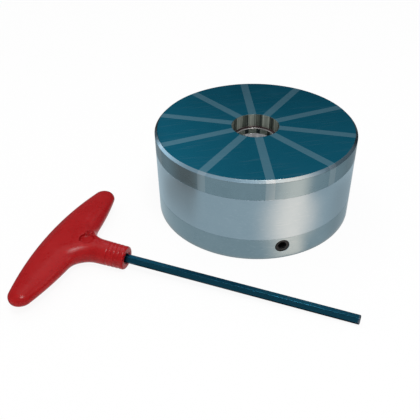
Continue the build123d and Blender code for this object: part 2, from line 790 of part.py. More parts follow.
# Key handle: a bar of elliptical sections, a round hub filleted into it, ring grooves and a dish
with BuildPart() as key_handle:
    stations = [(-y, w, t) for y, w, t in reversed(bar_sections[1:])] + list(bar_sections)
    for y, half_w, half_t in stations:
        with BuildSketch(bar_cross(y * bar_half_l)):
            Ellipse(half_w, half_t)
    loft()
    fillet(key_handle.faces().filter_by(GeomType.PLANE).edges(), bar_tip_round)
    # The hub widens towards the bar, from a circle to an ellipse, and runs into it through a wide fillet
    with BuildSketch(key_cross(bar_x)):
        Ellipse(hub_root_w, hub_root_t)
    with BuildSketch(key_cross(-hub_round_l)):
        Circle(hub_r)
    loft()
    fillet(key_handle.edges(Select.NEW), hub_fillet)
    # Its end is round, with four vee grooves
    with BuildSketch(key_cross(-hub_round_l)):
        Circle(hub_r)
    extrude(amount=hub_round_l)
    fillet(key_handle.faces().filter_by(GeomType.PLANE).edges(), hub_edge)
    with BuildSketch(key_section):
        for x in ring_grooves:
            Polygon(
                (x, hub_r - ring_groove_depth),
                (x + ring_groove_w, hub_r + ring_groove_depth),
                (x - ring_groove_w, hub_r + ring_groove_depth),
                align=None,
            )
    revolve(axis=key_axis, mode=Mode.SUBTRACT)
    # Dish in the top of the junction
    with BuildSketch(key_plane.offset(hub_r - dish_depth)):
        with Locations(dish_place):
            Circle(dish_d / 2)
    extrude(amount=2 * dish_depth, mode=Mode.SUBTRACT)
    # Hex hole for the blade, with a round mouth
    with BuildSketch(key_cross(-key_embed)):
        RegularPolygon(key_af / 2 + fit_gap, 6, major_radius=False)
    extrude(amount=key_embed, mode=Mode.SUBTRACT)
    with BuildSketch(key_cross(-hub_mouth_depth)):
        Circle(hub_mouth_d / 2)
    extrude(amount=hub_mouth_depth, mode=Mode.SUBTRACT)
key_handle.part.label = "key_handle"
export_step(key_handle.part, "parts/key_handle.step")


# Hex blade with a chamfered tip
with BuildPart() as key_blade:
    with BuildSketch(key_cross(-key_embed)):
        RegularPolygon(key_af / 2, 6, major_radius=False)
    extrude(amount=key_embed + key_blade_l)
    chamfer(key_blade.faces().sort_by(key_axis)[-1].edges(), key_tip_chamfer)
key_blade.part.label = "key_blade"
export_step(key_blade.part, "parts/key_blade.step")
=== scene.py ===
"""Round magnetic chuck with its T-handled key: the looks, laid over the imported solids. Metres."""

import json
from math import asin, cos, pi, radians, sin

import bmesh
import bpy
import numpy as np
from mathutils import Euler, Matrix, Vector


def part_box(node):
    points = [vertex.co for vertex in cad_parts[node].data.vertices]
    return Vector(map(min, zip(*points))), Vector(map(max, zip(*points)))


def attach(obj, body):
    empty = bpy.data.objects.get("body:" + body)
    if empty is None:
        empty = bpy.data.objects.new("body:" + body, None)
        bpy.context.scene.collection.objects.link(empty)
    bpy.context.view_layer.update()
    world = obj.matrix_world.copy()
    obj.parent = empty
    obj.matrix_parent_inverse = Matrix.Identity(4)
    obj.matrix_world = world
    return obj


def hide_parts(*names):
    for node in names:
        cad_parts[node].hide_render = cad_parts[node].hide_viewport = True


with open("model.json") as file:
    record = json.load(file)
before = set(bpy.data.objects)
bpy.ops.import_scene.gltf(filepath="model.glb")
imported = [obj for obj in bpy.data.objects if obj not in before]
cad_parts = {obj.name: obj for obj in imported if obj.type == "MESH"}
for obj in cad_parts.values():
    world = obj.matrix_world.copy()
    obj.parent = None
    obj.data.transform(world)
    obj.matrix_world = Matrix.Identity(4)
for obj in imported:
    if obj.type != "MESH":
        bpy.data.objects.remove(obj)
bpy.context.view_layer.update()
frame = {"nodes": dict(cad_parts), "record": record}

MM = 0.001
smooth_angle = 28.0
weld_gap = 0.002

# Heights and radii of the chuck, in millimetres, read from its solids
chuck_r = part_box("housing_ring")[1].x / MM
base_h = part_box("housing_ring")[0].z / MM
plate_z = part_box("housing_ring")[1].z / MM
top_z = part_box("pole_sector_01")[1].z / MM
tube_top_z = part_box("centre_tube")[1].z / MM
register_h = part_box("centre_tube")[0].z / MM

# The pole plate
pole_count = 10
pitch = 360.0 / pole_count
first_spacer = -98.35
first_sector = first_spacer + pitch / 2
spacer_half_w = 3.25
top_chamfer = 2.0
joint_chamfer = 0.15
foot_chamfer = 0.6
bore_r = 18.7
bore_depth = 11.0
bore_chamfer = 0.3
lip_r = 15.5
lip_chamfer = 0.6
plate_ease = 0.12
ring_ease = 0.05
face_skin = 0.05
clamp_r = 73.0
clamp_hole_r = 2.75
clamp_head_r = 4.75
clamp_head_depth = 6.0
clamp_thread_r = 2.55
clamp_thread_h = 11.0
dowel_hole_r = 2.05
dowel_depth = 6.0

# Base plate, housing ring and centre tube
register_r = 45.0
register_depth = 3.0
flange_r = 26.0
flange_h = 3.0
tube_r = 18.5
running_gap = 0.05
cavity_r = 66.0
seal_inner_r = 67.2
seal_outer_r = 69.2
seal_depth = 1.4
tube_seal_r = (16.3, 17.7)
tube_seal_depth = 1.0
groove_r = (35.5, 45.5)
groove_floor_z = 13.5
mount_azimuth = 45.0
mount_r = 55.0
mount_hole_r = 3.4
mount_depth = 12.0
flange_screw_r = 22.5
flange_screw_hole_r = 1.55
flange_screw_sink_r = 2.8
flange_screw_depth = 7.0
stop_r = 58.0
stop_hole_r = 2.55
stop_depth = 9.0
stop_azimuth = first_sector + 4 * pitch - 9.0
spindle_z = 11.66
spindle_hole_r = 5.45
spindle_mouth_r = 5.85
pocket_half_w = 6.6
pocket_floor_z = 5.2
pocket_outer = 44.5
bush_seat_r = 4.55
bush_seat_inner = 28.0
bush_seat_outer = 36.0
mouth_chamfer = 0.4
mouth_clear = 1.6
tube_chamfer = 0.5
sink_clear = 0.5
tool_clear = 2.0

# The key, in its own frame: x along the blade from the hub's end, y along the T, z up
key_af = 6.0
key_blade_l = 170.5
key_embed = 30.0
key_hub_end = (-114.43, -63.64)
key_azimuth = -31.88
hub_r = 8.8
hub_root_w = 11.2
hub_root_t = 8.4
hub_edge = 1.6
hub_blend = 13.0
hub_mouth_r = 4.5
hub_mouth_depth = 2.0
ring_grooves = (-13.7, -10.5, -7.3, -4.1)
ring_groove_half_w = 0.55
ring_groove_depth = 0.32
bar_x = -50.7
bar_half_l = 68.4
bar_w = 16.4
bar_w_loss = 9.6
bar_t = 9.0
bar_t_loss = 4.3
bar_tip = 0.1
dish = (-33.0, 1.2)
dish_r = 5.5
dish_floor_z = 6.3
dish_floor_round = 1.6
dish_edge_round = 0.7
crown_h = 9.05
crown_round = 1.2
mouth_edge_round = 0.5
handle_voxel = 0.42
settle_rounds = 9
settle_step = 0.02
settle_reach = 1.5
blade_ease = 0.16
tip_stations = ((-0.6, 1.0), (-0.48, 0.985), (-0.05, 0.87), (0.0, 0.83), (0.0, 0.3))
tip_worn = (-0.4, 1.3)

# The photograph's camera
camera_place = (-116.306, -380.421, 285.457)
camera_turn = (53.0591, 0.8802, -12.2828)
camera_lens = 48.151
camera_sensor = 36.0
camera_clip = 0.01
view_azimuth = -107.0
view_height = 37.0
wall_centre_px = 255.7
wall_radius_px = 101.5
chuck_middle = (0.0, 0.0, 40.0)

# Colours: the metals' tint at a flat angle, and painted light in the bore: painted shade on its edge, painted
# shade with a reddish painted reflection on the ledge in it, and a painted highlight on the ledge's lip
edge_tint = (0.5, 0.5, 0.5, 1.0)
painted_bore_edge_shade = (0.03, 0.06, 0.07)
painted_ledge_shade = (0.05, 0.03, 0.033)
painted_lip_highlight = (0.24, 0.235, 0.23)

# The room: how white the floor is seen, its paint, and the light from all round
floor_white = 0.92
floor_paint = 0.9
floor_size = 3.0
world_light = 0.55

# The sheets of light that only the metal and the plastic mirror: their light and their places
cool_light = (0.79, 0.94, 1.02)
warm_light = (2.4, 2.04, 1.82)
shade_light = (0.42, 0.42, 0.42)
dark_light = (0.03, 0.04, 0.05)
handle_dark = (0.14, 0.14, 0.15)
rim_cool_light = (0.86, 1.02, 1.18)
rim_warm_light = (3.0, 2.42, 2.2)
front_light = (0.3, 0.3, 0.3)
back_light = (1.0, 1.0, 1.0)
strip_light = (0.35, 0.38, 0.4)
floor_clear = 0.4
mirror_slope = 0.75
screen_run = 16.0
screen_gap = 1.0
rim_reach = 60.0
rim_spread = (-22.0, 24.0)
handle_clear = 14.0
front_r = 1700.0
front_azimuth = (-185.0, 5.0)
front_elevation = (10.0, 88.0)
strip_from = 175.0
dome_r = 600.0
dome_azimuth = (-45.0, 126.0)

# The dome behind the chuck, in degrees: how far up it is dark, and by how much its sides differ
dome_dark = 12.0
dome_right_dark = 20.0
dome_right_azimuth = (36.0, -15.0)
dome_rise = 18.0
dome_left_gain = 0.5
dome_left_azimuth = (74.0, 98.0)

# Columns of the picture, in pixels, over which the walls' and the chamfer's light changes, and by how much
screen_px = (156.0, 354.0)
wall_warm_px = ((264.0, 295.0), (299.0, 314.0))
wall_warm_shift = ((-11.0, -3.0), (0.0, 14.0))
high_block_px = ((168.0, 188.0), (202.0, 206.0))
low_block_px = ((162.0, 174.0), (194.0, 207.0))
low_block_share = 0.6
right_dim_px = (324.0, 342.0)
right_dim = 0.24
rim_warm_px = ((258.0, 277.0), (298.0, 317.0))
rim_hot_px = (278.0, 290.0)
rim_hot_gain = 0.4
rim_fade_px = (308.0, 338.0)
rim_fade = 0.74
rim_left_px = (158.0, 192.0)
rim_left_gain = 1.9
rim_middle_px = (200.0, 250.0)
rim_middle_gain = 0.25
rim_sheen_px = ((202.0, 212.0), (222.0, 236.0))
rim_sheen_gain = 0.2

# Heights of the wall, in millimetres, over which it changes
middle_z = ((15.0, 21.0), (50.0, 54.0))
high_block_z = (52.0, 54.0)
low_block_z = (14.0, 46.0)

# Where the painted shade beside the blade is lighter, in millimetres from the hub's end
blade_light_x = ((20.0, 45.0), (80.0, 110.0))


def ring_direction(azimuth):
    """Unit vectors in the level plane at azimuths in degrees: cosine and sine."""
    a = np.radians(azimuth)
    return np.stack([np.cos(a), np.sin(a)], axis=-1)


def with_height(level, height):
    """Level points with their heights."""
    return np.concatenate([level, np.broadcast_to(height, level.shape[:-1] + (1,))], axis=-1)


def placed(name, data):
    """A new object in the scene."""
    made = bpy.data.objects.new(name, data)
    bpy.context.scene.collection.objects.link(made)
    return made


def new_piece(name, points, faces, body=None, slot=None, nodes=()):
    """A piece from points in millimetres and faces. With a slot it has that slot's material, rides on a body
    and stands for the named solids. Without one it is a tool."""
    mesh = bpy.data.meshes.new(name)
    mesh.from_pydata((np.asarray(points) * MM).tolist(), [], faces)
    piece = placed(name, mesh)
    face_outwards(mesh)
    smooth_by_angle(mesh)
    if slot is not None:
        mesh.materials.append(outer[slot])
        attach(piece, body)
        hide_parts(*nodes)
    return piece


def face_outwards(mesh):
    """Turns every face of a closed mesh outwards."""
    work = bmesh.new()
    work.from_mesh(mesh)
    bmesh.ops.recalc_face_normals(work, faces=work.faces)
    work.to_mesh(mesh)
    work.free()


def smooth_by_angle(mesh):
    """Smooth shading, broken at the sharper edges."""
    mesh.shade_smooth()
    mesh.set_sharp_from_angle(angle=radians(smooth_angle))


def grid_faces(rows, columns, wrap_rows=False, wrap_columns=False):
    """Quads between neighbouring lines of a grid of points."""
    index = np.arange(rows * columns).reshape(rows, columns)
    if wrap_rows:
        index = np.vstack([index, index[:1]])
    if wrap_columns:
        index = np.hstack([index, index[:, :1]])
    corners = (index[:-1, :-1], index[1:, :-1], index[1:, 1:], index[:-1, 1:])
    return np.stack(corners, axis=-1).reshape(-1, 4).tolist()


def tube_faces(rows, columns):
    """Faces of a grid of points that is closed round each row and has a cap at each end."""
    last = (rows - 1) * columns
    caps = [list(range(columns)), list(range(last, last + columns))]
    return grid_faces(rows, columns, wrap_columns=True) + caps


def joined(shapes):
    """The points and faces of several shapes as one."""
    points, faces, start = [], [], 0
    for shape_points, shape_faces in shapes:
        points.append(shape_points)
        faces += [[start + i for i in face] for face in shape_faces]
        start += len(shape_points)
    return np.vstack(points), faces


def eased(section, amount):
    """A closed outline with every corner cut off: each point becomes four, the amount and three times the
    amount along its two edges, so that the shading of the cut corner doesn't reach into the flats."""
    p = np.asarray(section, float)
    points = []
    for way, shares in ((1, ((3, 0.45), (1, 0.3))), (-1, ((1, 0.3), (3, 0.45)))):
        side = np.roll(p, way, axis=0) - p
        length = np.linalg.norm(side, axis=1, keepdims=True)
        points += [p + side / length * np.minimum(times * amount, most * length) for times, most in shares]
    return np.stack(points, axis=1).reshape(-1, 2)


def turned_piece(name, section, count, *place):
    """A ring: an outline (radius, height) with its corners eased, carried right round Z. A point lies at the
    radius times the cosine and the sine of the turn, and at the height."""
    section = eased(section, ring_ease)
    around = ring_direction(np.arange(count) * 360.0 / count)
    points = with_height(section[:, :1, None] * around, section[:, 1:, None])
    faces = grid_faces(len(section), count, wrap_rows=True, wrap_columns=True)
    return new_piece(name, points.reshape(-1, 3), faces, *place)


def plate_piece(name, azimuth, half_angle, columns, *place):
    """One piece of the pole plate: the disc's outline swept to both sides of an azimuth. A share from -1 to 1
    is multiplied by half an angle that depends on the radius, so that the two cut faces are flat."""
    section = eased(plate_section, plate_ease)
    r = section[:, :1]
    turn = azimuth + np.linspace(-1.0, 1.0, columns) * half_angle(r)
    points = with_height(r[..., None] * ring_direction(turn), section[:, 1:, None])
    rows = len(section)
    index = np.arange(rows * columns).reshape(rows, columns)
    caps = [index[:, 0].tolist(), index[::-1, -1].tolist()]
    faces = grid_faces(rows, columns, wrap_rows=True) + caps
    return new_piece(name, points.reshape(-1, 3), faces, *place)


def spacer_half_angle(r):
    """Half the angle that a parallel spacer takes up at a radius: the arcsine of half its width over r."""
    return np.degrees(np.arcsin(spacer_half_w / r))


def sector_half_angle(r):
    """Half the angle of the steel between two spacers."""
    return pitch / 2 - spacer_half_angle(r)


def stepped_cutter(steps, centre, axis="Z", count=32):
    """A round tool for cutting a hole: (distance along the axis, radius) steps, closed at both ends.
    The axis is Z, or Y pointing out of the spindle's bore."""
    steps = np.asarray(steps, float)
    around = ring_direction(np.arange(count) * 360.0 / count)
    points = with_height(steps[:, 1:, None] * around, steps[:, :1, None]).reshape(-1, 3)
    if axis == "Y":
        points = np.stack([points[:, 0], -points[:, 2], points[:, 1]], axis=-1)
    return points + np.asarray(centre, float), tube_faces(len(steps), count)


def straight(low, high, r):
    """The steps of a straight hole."""
    return [(low, r), (high, r)]


def holes(steps, radius, azimuth, count=1):
    """The same round tool at places spaced evenly round the axis."""
    places = radius * ring_direction(azimuth + np.arange(count) * 360.0 / count)
    return [stepped_cutter(steps, (*place, 0.0)) for place in places]


def box_cutter(low, high):
    """A box tool between two corners."""
    low, high = np.asarray(low, float), np.asarray(high, float)
    faces = [(0, 1, 3, 2), (4, 6, 7, 5), (0, 4, 5, 1), (2, 3, 7, 6), (0, 2, 6, 4), (1, 5, 7, 3)]
    return low + np.array(list(np.ndindex(2, 2, 2))) * (high - low), faces


def evaluated_mesh(piece):
    """The mesh that a piece's modifiers make of it."""
    bpy.context.view_layer.update()
    evaluated = piece.evaluated_get(bpy.context.evaluated_depsgraph_get())
    return bpy.data.meshes.new_from_object(evaluated)


def discard(piece):
    """Removes a piece with its mesh."""
    mesh = piece.data
    bpy.data.objects.remove(piece)
    bpy.data.meshes.remove(mesh)


def cut(piece, tools):
    """Cuts tools that don't touch each other out of a piece, in one go."""
    tool = new_piece("tool", *joined(tools))
    modifier = piece.modifiers.new("cut", "BOOLEAN")
    modifier.operation = "DIFFERENCE"
    modifier.solver = "EXACT"
    modifier.object = tool
    result = evaluated_mesh(piece)
    piece.modifiers.clear()
    discard(tool)
    old = piece.data
    piece.data = result
    bpy.data.meshes.remove(old)
    result.name = piece.name
    smooth_by_angle(result)


def fill(tree, node, inputs):
    """Fills a node's inputs: each is a value, or another node's output to link."""
    for key, value in inputs.items():
        if isinstance(value, bpy.types.NodeSocket):
            tree.links.new(value, node.inputs[key])
        else:
            node.inputs[key].default_value = value


def add(tree, kind, inputs=None, **settings):
    """A node with its inputs and settings."""
    made = tree.nodes.new(kind)
    for key, value in settings.items():
        setattr(made, key, value)
    fill(tree, made, inputs or {})
    return made


def maths(tree, operation, *values):
    """The result of a Math node on values or outputs."""
    return add(tree, "ShaderNodeMath", dict(enumerate(values)), operation=operation).outputs[0]


def vector_maths(tree, operation, *values):
    """The result of a Vector Math node on values or outputs: a number for a length or a dot product."""
    result = "Value" if operation in ("LENGTH", "DOT_PRODUCT") else "Vector"
    return add(tree, "ShaderNodeVectorMath", dict(enumerate(values)), operation=operation).outputs[result]


def split(tree, vector):
    """The three parts of a vector."""
    return add(tree, "ShaderNodeSeparateXYZ", {0: vector}).outputs


def combined(tree, x, y, z=0.0):
    """A vector from its three parts."""
    return add(tree, "ShaderNodeCombineXYZ", {"X": x, "Y": y, "Z": z}).outputs[0]


def noise(tree, place, scale, detail, roughness=0.5):
    """Noise from 0 to 1 at a place."""
    inputs = {"Vector": place, "Scale": scale, "Detail": detail, "Roughness": roughness}
    return add(tree, "ShaderNodeTexNoise", inputs).outputs[0]


def ramp(tree, value, low, high):
    """Zero below a value's lower limit, one above its upper limit, and an even S between."""
    inputs = {"Value": value, "From Min": low, "From Max": high}
    return add(tree, "ShaderNodeMapRange", inputs, interpolation_type="SMOOTHSTEP").outputs["Result"]


def mixed(tree, share, first, second):
    """Two colours mixed by a share."""
    colours = [c if isinstance(c, bpy.types.NodeSocket) else (*c, 1.0) for c in (first, second)]
    return add(tree, "ShaderNodeMix", {0: share, 6: colours[0], 7: colours[1]}, data_type="RGBA").outputs[2]


def marked(tree, base, marks, amount, colour):
    """A colour with marks of another colour laid over it."""
    return mixed(tree, maths(tree, "MULTIPLY", marks, amount), base, colour)


def blended(tree, first, second, share):
    """A share of one value and the rest of another."""
    return maths(tree, "MULTIPLY_ADD", first, share, maths(tree, "MULTIPLY", second, 1 - share))


def uneven(tree, value, middle, spread):
    """A middle value, spread by another one that goes from 0 to 1."""
    return maths(tree, "MULTIPLY_ADD", value, spread, middle - spread / 2)


def new_group(name, inputs, output):
    """A node group with vector inputs, or number inputs that have a default, and one number out."""
    group = bpy.data.node_groups.new(name, "ShaderNodeTree")
    for label, default in inputs.items():
        kind = "NodeSocketFloat" if default is not None else "NodeSocketVector"
        socket = group.interface.new_socket(name=label, in_out="INPUT", socket_type=kind)
        if default is not None:
            socket.default_value = default
    group.interface.new_socket(name=output, in_out="OUTPUT", socket_type="NodeSocketFloat")
    return group, group.nodes.new("NodeGroupInput").outputs, group.nodes.new("NodeGroupOutput").inputs


def level_part(tree, place):
    """A place's level part and its height."""
    x, y, z = split(tree, place)
    return combined(tree, x, y), z


def way_round(tree, level, turns):
    """The way round Z of a level part, as a level vector as long as the turns."""
    unit = vector_maths(tree, "NORMALIZE", level)
    return add(tree, "ShaderNodeVectorMath", {0: unit, "Scale": turns}, operation="SCALE").outputs["Vector"]


def turning_lines_group():
    """Lathe and grinding lines round Z: noise that is fine across the lines and long along them. Across is
    the height on a wall and the radius on a face, where the lines are 1.7 times as fine."""
    inputs = {"Place": None, "Lines per mm": 3.0, "Turns": 6.0}
    group, given, gives = new_group("turning_lines", inputs, "Lines")
    level, z = level_part(group, given["Place"])
    across = maths(group, "MULTIPLY_ADD", vector_maths(group, "LENGTH", level), 1.7, z)
    across = maths(group, "MULTIPLY", across, 1 / MM)
    across = maths(group, "MULTIPLY", across, given["Lines per mm"])
    x, y, _ = split(group, way_round(group, level, given["Turns"]))
    lines = noise(group, combined(group, x, y, across), 1.0, 3.0, 0.6)
    group.links.new(lines, gives["Lines"])
    return group


def clouds_group():
    """Slow uneven patches, such as handling marks: two sizes of noise, added up and spread to 0..1."""
    inputs = {"Place": None, "Size in mm": 12.0, "Contrast": 0.5}
    group, given, gives = new_group("clouds", inputs, "Patches")
    scale = maths(group, "DIVIDE", 1 / MM, given["Size in mm"])
    large = noise(group, given["Place"], scale, 4.0)
    small = noise(group, given["Place"], maths(group, "MULTIPLY", scale, 4.3), 2.0)
    both = maths(group, "MULTIPLY_ADD", small, 0.35, large)
    low = maths(group, "MULTIPLY_ADD", given["Contrast"], 0.4, 0.25)
    high = maths(group, "SUBTRACT", 1.35, low)
    spread = add(group, "ShaderNodeMapRange", {"Value": both, "From Min": low, "From Max": high})
    group.links.new(spread.outputs["Result"], gives["Patches"])
    return group


def scratches_group():
    """Hair scratches: noise drawn out thirty times along one way, kept where it peaks, in three ways."""
    inputs = {"Place": None, "Size in mm": 6.0, "Amount": 0.5}
    group, given, gives = new_group("scratches", inputs, "Marks")
    scale = maths(group, "DIVIDE", 1 / MM, given["Size in mm"])
    marks = 0.0
    for turn in ((0.2, 0.3, 0.5), (0.1, -0.4, 1.9), (0.5, 0.1, 2.7)):
        inputs = {"Vector": given["Place"], "Rotation": turn, "Scale": (1.0, 30.0, 30.0)}
        place = add(group, "ShaderNodeMapping", inputs).outputs[0]
        marks = maths(group, "MAXIMUM", marks, ramp(group, noise(group, place, scale, 0.0), 0.72, 0.8))
    group.links.new(maths(group, "MULTIPLY", marks, given["Amount"]), gives["Marks"])
    return group


def painted_bore_reflections_group():
    """Painted reflections down the bore's wall: streaks of noise that only change with the way round Z."""
    group, given, gives = new_group("painted_bore_reflections", {"Place": None, "Turns": 3.0}, "Streaks")
    level, _ = level_part(group, given["Place"])
    streaks = noise(group, way_round(group, level, given["Turns"]), 1.0, 4.0, 0.7)
    group.links.new(ramp(group, streaks, 0.36, 0.66), gives["Streaks"])
    return group


turning_lines = turning_lines_group()
clouds = clouds_group()
scratches = scratches_group()
painted_bore_reflections = painted_bore_reflections_group()


def grouped(tree, group, place, **values):
    """A shared effect placed in a material, with its own values."""
    inputs = {"Place": place, **{key.replace("_", " "): value for key, value in values.items()}}
    return add(tree, "ShaderNodeGroup", inputs, node_tree=group).outputs[0]


def new_material(name):
    """A material with its shader, and the place of each point in the row frame."""
    material = bpy.data.materials.new(name)
    material.use_nodes = True
    tree = material.node_tree
    shader = tree.nodes["Principled BSDF"]
    place = add(tree, "ShaderNodeTexCoord").outputs["Object"]
    return material, tree, shader, place


def relief(tree, shader, height, depth):
    """A height in 0..1 made into surface relief of a real depth in millimetres."""
    node = add(tree, "ShaderNodeBump", {"Height": height, "Distance": depth * MM, "Strength": 1.0})
    fill(tree, shader, {"Normal": node.outputs[0]})


def across_lines(tree, shader, place):
    """Stretches the shine across the turning lines: its tangent is the normal crossed with the way round."""
    x, y, _ = split(tree, place)
    around = combined(tree, maths(tree, "MULTIPLY", y, -1.0), x)
    normal = add(tree, "ShaderNodeTexCoord").outputs["Normal"]
    tangent = vector_maths(tree, "NORMALIZE", vector_maths(tree, "CROSS_PRODUCT", normal, around))
    ways = {"vector_type": "VECTOR", "convert_from": "OBJECT", "convert_to": "WORLD"}
    world = add(tree, "ShaderNodeVectorTransform", {0: tangent}, **ways)
    fill(tree, shader, {"Tangent": world.outputs[0], "Anisotropic": 0.7})


def in_bore(tree, place):
    """One on the walls of the centre bore, zero outside it and on the magnetic face."""
    level, z = level_part(tree, place)
    inside = maths(tree, "LESS_THAN", vector_maths(tree, "LENGTH", level), (bore_r + 2 * bore_chamfer) * MM)
    return maths(tree, "MULTIPLY", inside, maths(tree, "LESS_THAN", z, (top_z - face_skin) * MM))


def turned_metal(name, colour, dark, roughness, lines_per_mm, bore=None):
    """Turned metal: fine lines round the axis in colour, roughness and relief, with handling marks, and
    painted reflections streaked down the bore where it has one."""
    material, tree, shader, place = new_material(name)
    lines = grouped(tree, turning_lines, place, Lines_per_mm=lines_per_mm)
    patches = grouped(tree, clouds, place, Size_in_mm=14.0)
    marks = grouped(tree, scratches, place, Size_in_mm=24.0)
    base = mixed(tree, blended(tree, lines, patches, 0.6), dark, colour)
    base = marked(tree, base, marks, 0.2, (0.5, 0.52, 0.53))
    metallic = 1.0
    if bore is not None:
        inside = in_bore(tree, place)
        # painted reflection: streaks down the bore's wall, between the bore's dark and light
        base = mixed(tree, inside, base, mixed(tree, grouped(tree, painted_bore_reflections, place, Turns=5.0), *bore))
        metallic = maths(tree, "MULTIPLY_ADD", inside, -0.45, 1.0)
    rough = maths(tree, "MULTIPLY_ADD", patches, 0.06, uneven(tree, lines, roughness, 0.12))
    fill(tree, shader, {"Base Color": base, "Roughness": rough, "Metallic": metallic})
    across_lines(tree, shader, place)
    relief(tree, shader, lines, 0.0015)
    return material


def painted_bore_light(tree, place, z, dark, light):
    """The plate's bore, all painted light: streaks of painted reflection, painted shade on the edge above,
    painted shade on the ledge below with a painted highlight on its lip, and painted shade under that."""
    colour = mixed(tree, grouped(tree, painted_bore_reflections, place, Turns=6.0), dark, light)
    # painted shade on the bore's top edge
    above_edge = maths(tree, "GREATER_THAN", z, (top_z - bore_chamfer) * MM)
    colour = mixed(tree, above_edge, colour, painted_bore_edge_shade)
    above_ledge = maths(tree, "SUBTRACT", z, (top_z - bore_depth) * MM)
    lip_end = -lip_chamfer - 2 * face_skin
    # painted shade on the ledge, a painted highlight on its lip, and painted shade under it
    for limit, next_colour in ((2 * face_skin, painted_ledge_shade), (-face_skin, painted_lip_highlight), (lip_end, dark)):
        colour = mixed(tree, maths(tree, "LESS_THAN", above_ledge, limit * MM), colour, next_colour)
    return colour


def face_metal(name, side, side_dark, face, face_dark, bore, roughness):
    """The pole plate's metals: a ground magnetic face whose blue-green colour is a painted reflection, bare
    turned sides and the bore. The face is what lies within a thin skin of the top."""
    material, tree, shader, place = new_material(name)
    lines = grouped(tree, turning_lines, place, Lines_per_mm=2.4, Turns=5.0)
    patches = grouped(tree, clouds, place, Size_in_mm=22.0, Contrast=0.6)
    marks = grouped(tree, scratches, place, Size_in_mm=30.0)
    _, _, z = split(tree, place)
    on_face = maths(tree, "GREATER_THAN", z, (top_z - face_skin) * MM)
    inside = in_bore(tree, place)
    tone = blended(tree, lines, patches, 0.5)
    bare = mixed(tree, inside, mixed(tree, tone, side_dark, side), painted_bore_light(tree, place, z, *bore))
    # painted reflection: the face's blue-green colour
    base = mixed(tree, on_face, bare, mixed(tree, tone, face_dark, face))
    base = marked(tree, base, marks, 0.08, (0.3, 0.4, 0.45))
    rough = maths(tree, "MULTIPLY_ADD", patches, 0.08, uneven(tree, lines, roughness, 0.08))
    fill(tree, shader, {"Base Color": base, "Roughness": rough, "Specular Tint": edge_tint,
                        "Metallic": maths(tree, "MULTIPLY_ADD", inside, -0.6, 1.0)})
    relief(tree, shader, lines, 0.001)
    return material


def plain_finish(name, colour, dark, roughness, size=3.0, metallic=1.0, grain_depth=0.004, gloss=0.5):
    """A small piece's finish: uneven tone, fine grain in the relief, and a few scratches."""
    material, tree, shader, place = new_material(name)
    patches = grouped(tree, clouds, place, Size_in_mm=size, Contrast=0.4)
    marks = grouped(tree, scratches, place, Size_in_mm=size * 1.5, Amount=0.8)
    lighter = tuple(min(1.0, 1.5 * c + 0.05) for c in colour)
    base = marked(tree, mixed(tree, patches, dark, colour), marks, 0.5, lighter)
    fill(tree, shader, {"Base Color": base, "Roughness": uneven(tree, patches, roughness, 0.16),
                        "Metallic": metallic, "Specular IOR Level": gloss})
    relief(tree, shader, noise(tree, place, 2.5 / MM, 2.0), grain_depth)
    return material


def red_plastic():
    """Moulded red plastic: a soft satin skin with a faint orange peel, uneven gloss and small scuffs."""
    material, tree, shader, place = new_material("red_plastic")
    patches = grouped(tree, clouds, place, Size_in_mm=16.0)
    marks = grouped(tree, scratches, place, Size_in_mm=8.0, Amount=0.4)
    base = mixed(tree, patches, (0.325, 0.004, 0.0055), (0.37, 0.0055, 0.007))
    base = marked(tree, base, marks, 0.12, (0.5, 0.06, 0.06))
    rough = maths(tree, "MULTIPLY_ADD", patches, 0.1, 0.23)
    rough = maths(tree, "MULTIPLY_ADD", marks, 0.12, rough)
    fill(tree, shader, {"Base Color": base, "Roughness": rough, "Specular IOR Level": 0.2})
    peel = noise(tree, place, 0.55 / MM, 2.0)
    height = maths(tree, "MULTIPLY_ADD", noise(tree, place, 4.0 / MM, 1.0), 0.25, peel)
    relief(tree, shader, maths(tree, "MULTIPLY_ADD", marks, -0.2, height), 0.014)
    return material


def key_x(tree, place):
    """How far a point lies along the blade from the hub's end, in millimetres."""
    offset = vector_maths(tree, "SUBTRACT", place, Vector(key_origin) * MM)
    return maths(tree, "MULTIPLY", vector_maths(tree, "DOT_PRODUCT", offset, tuple(key_axes[0])), 1 / MM)


def blade_steel():
    """Blued hex steel: drawing lines along the blade, rubbed patches, and a tip worn bright."""
    material, tree, shader, place = new_material("blade_steel")
    turn = Matrix(key_axes.tolist()).to_euler()
    own = add(tree, "ShaderNodeMapping", {"Vector": place, "Rotation": tuple(turn)}).outputs[0]
    long = add(tree, "ShaderNodeMapping", {"Vector": own, "Scale": (0.02, 1.0, 1.0)}).outputs[0]
    lines = noise(tree, long, 3.0 / MM, 3.0)
    patches = grouped(tree, clouds, place, Size_in_mm=7.0)
    marks = grouped(tree, scratches, place, Size_in_mm=5.0, Amount=1.0)
    ragged_x = maths(tree, "MULTIPLY_ADD", patches, 2.0, key_x(tree, place))
    worn = ramp(tree, ragged_x, *(key_blade_l + x for x in tip_worn))
    base = mixed(tree, blended(tree, lines, patches, 0.7), (0.0046, 0.046, 0.077), (0.0085, 0.07, 0.115))
    base = marked(tree, base, marks, 0.25, (0.12, 0.2, 0.25))
    base = mixed(tree, worn, base, (0.13, 0.155, 0.185))
    rough = maths(tree, "MULTIPLY_ADD", lines, 0.16, 0.26)
    fill(tree, shader, {"Base Color": base, "Roughness": rough, "Metallic": 1.0, "Specular Tint": edge_tint})
    relief(tree, shader, lines, 0.004)
    return material


def key_frame():
    """The key's origin and its three axes as rows: x drops along the blade, so that the tip touches down."""
    drop = asin((hub_r - key_af / 2) / key_blade_l)
    a = radians(key_azimuth)
    x = np.array([cos(a) * cos(drop), sin(a) * cos(drop), -sin(drop)])
    z = np.array([cos(a) * sin(drop), sin(a) * sin(drop), cos(drop)])
    return np.array([*key_hub_end, hub_r]), np.stack([x, np.cross(z, x), z])


key_origin, key_axes = key_frame()


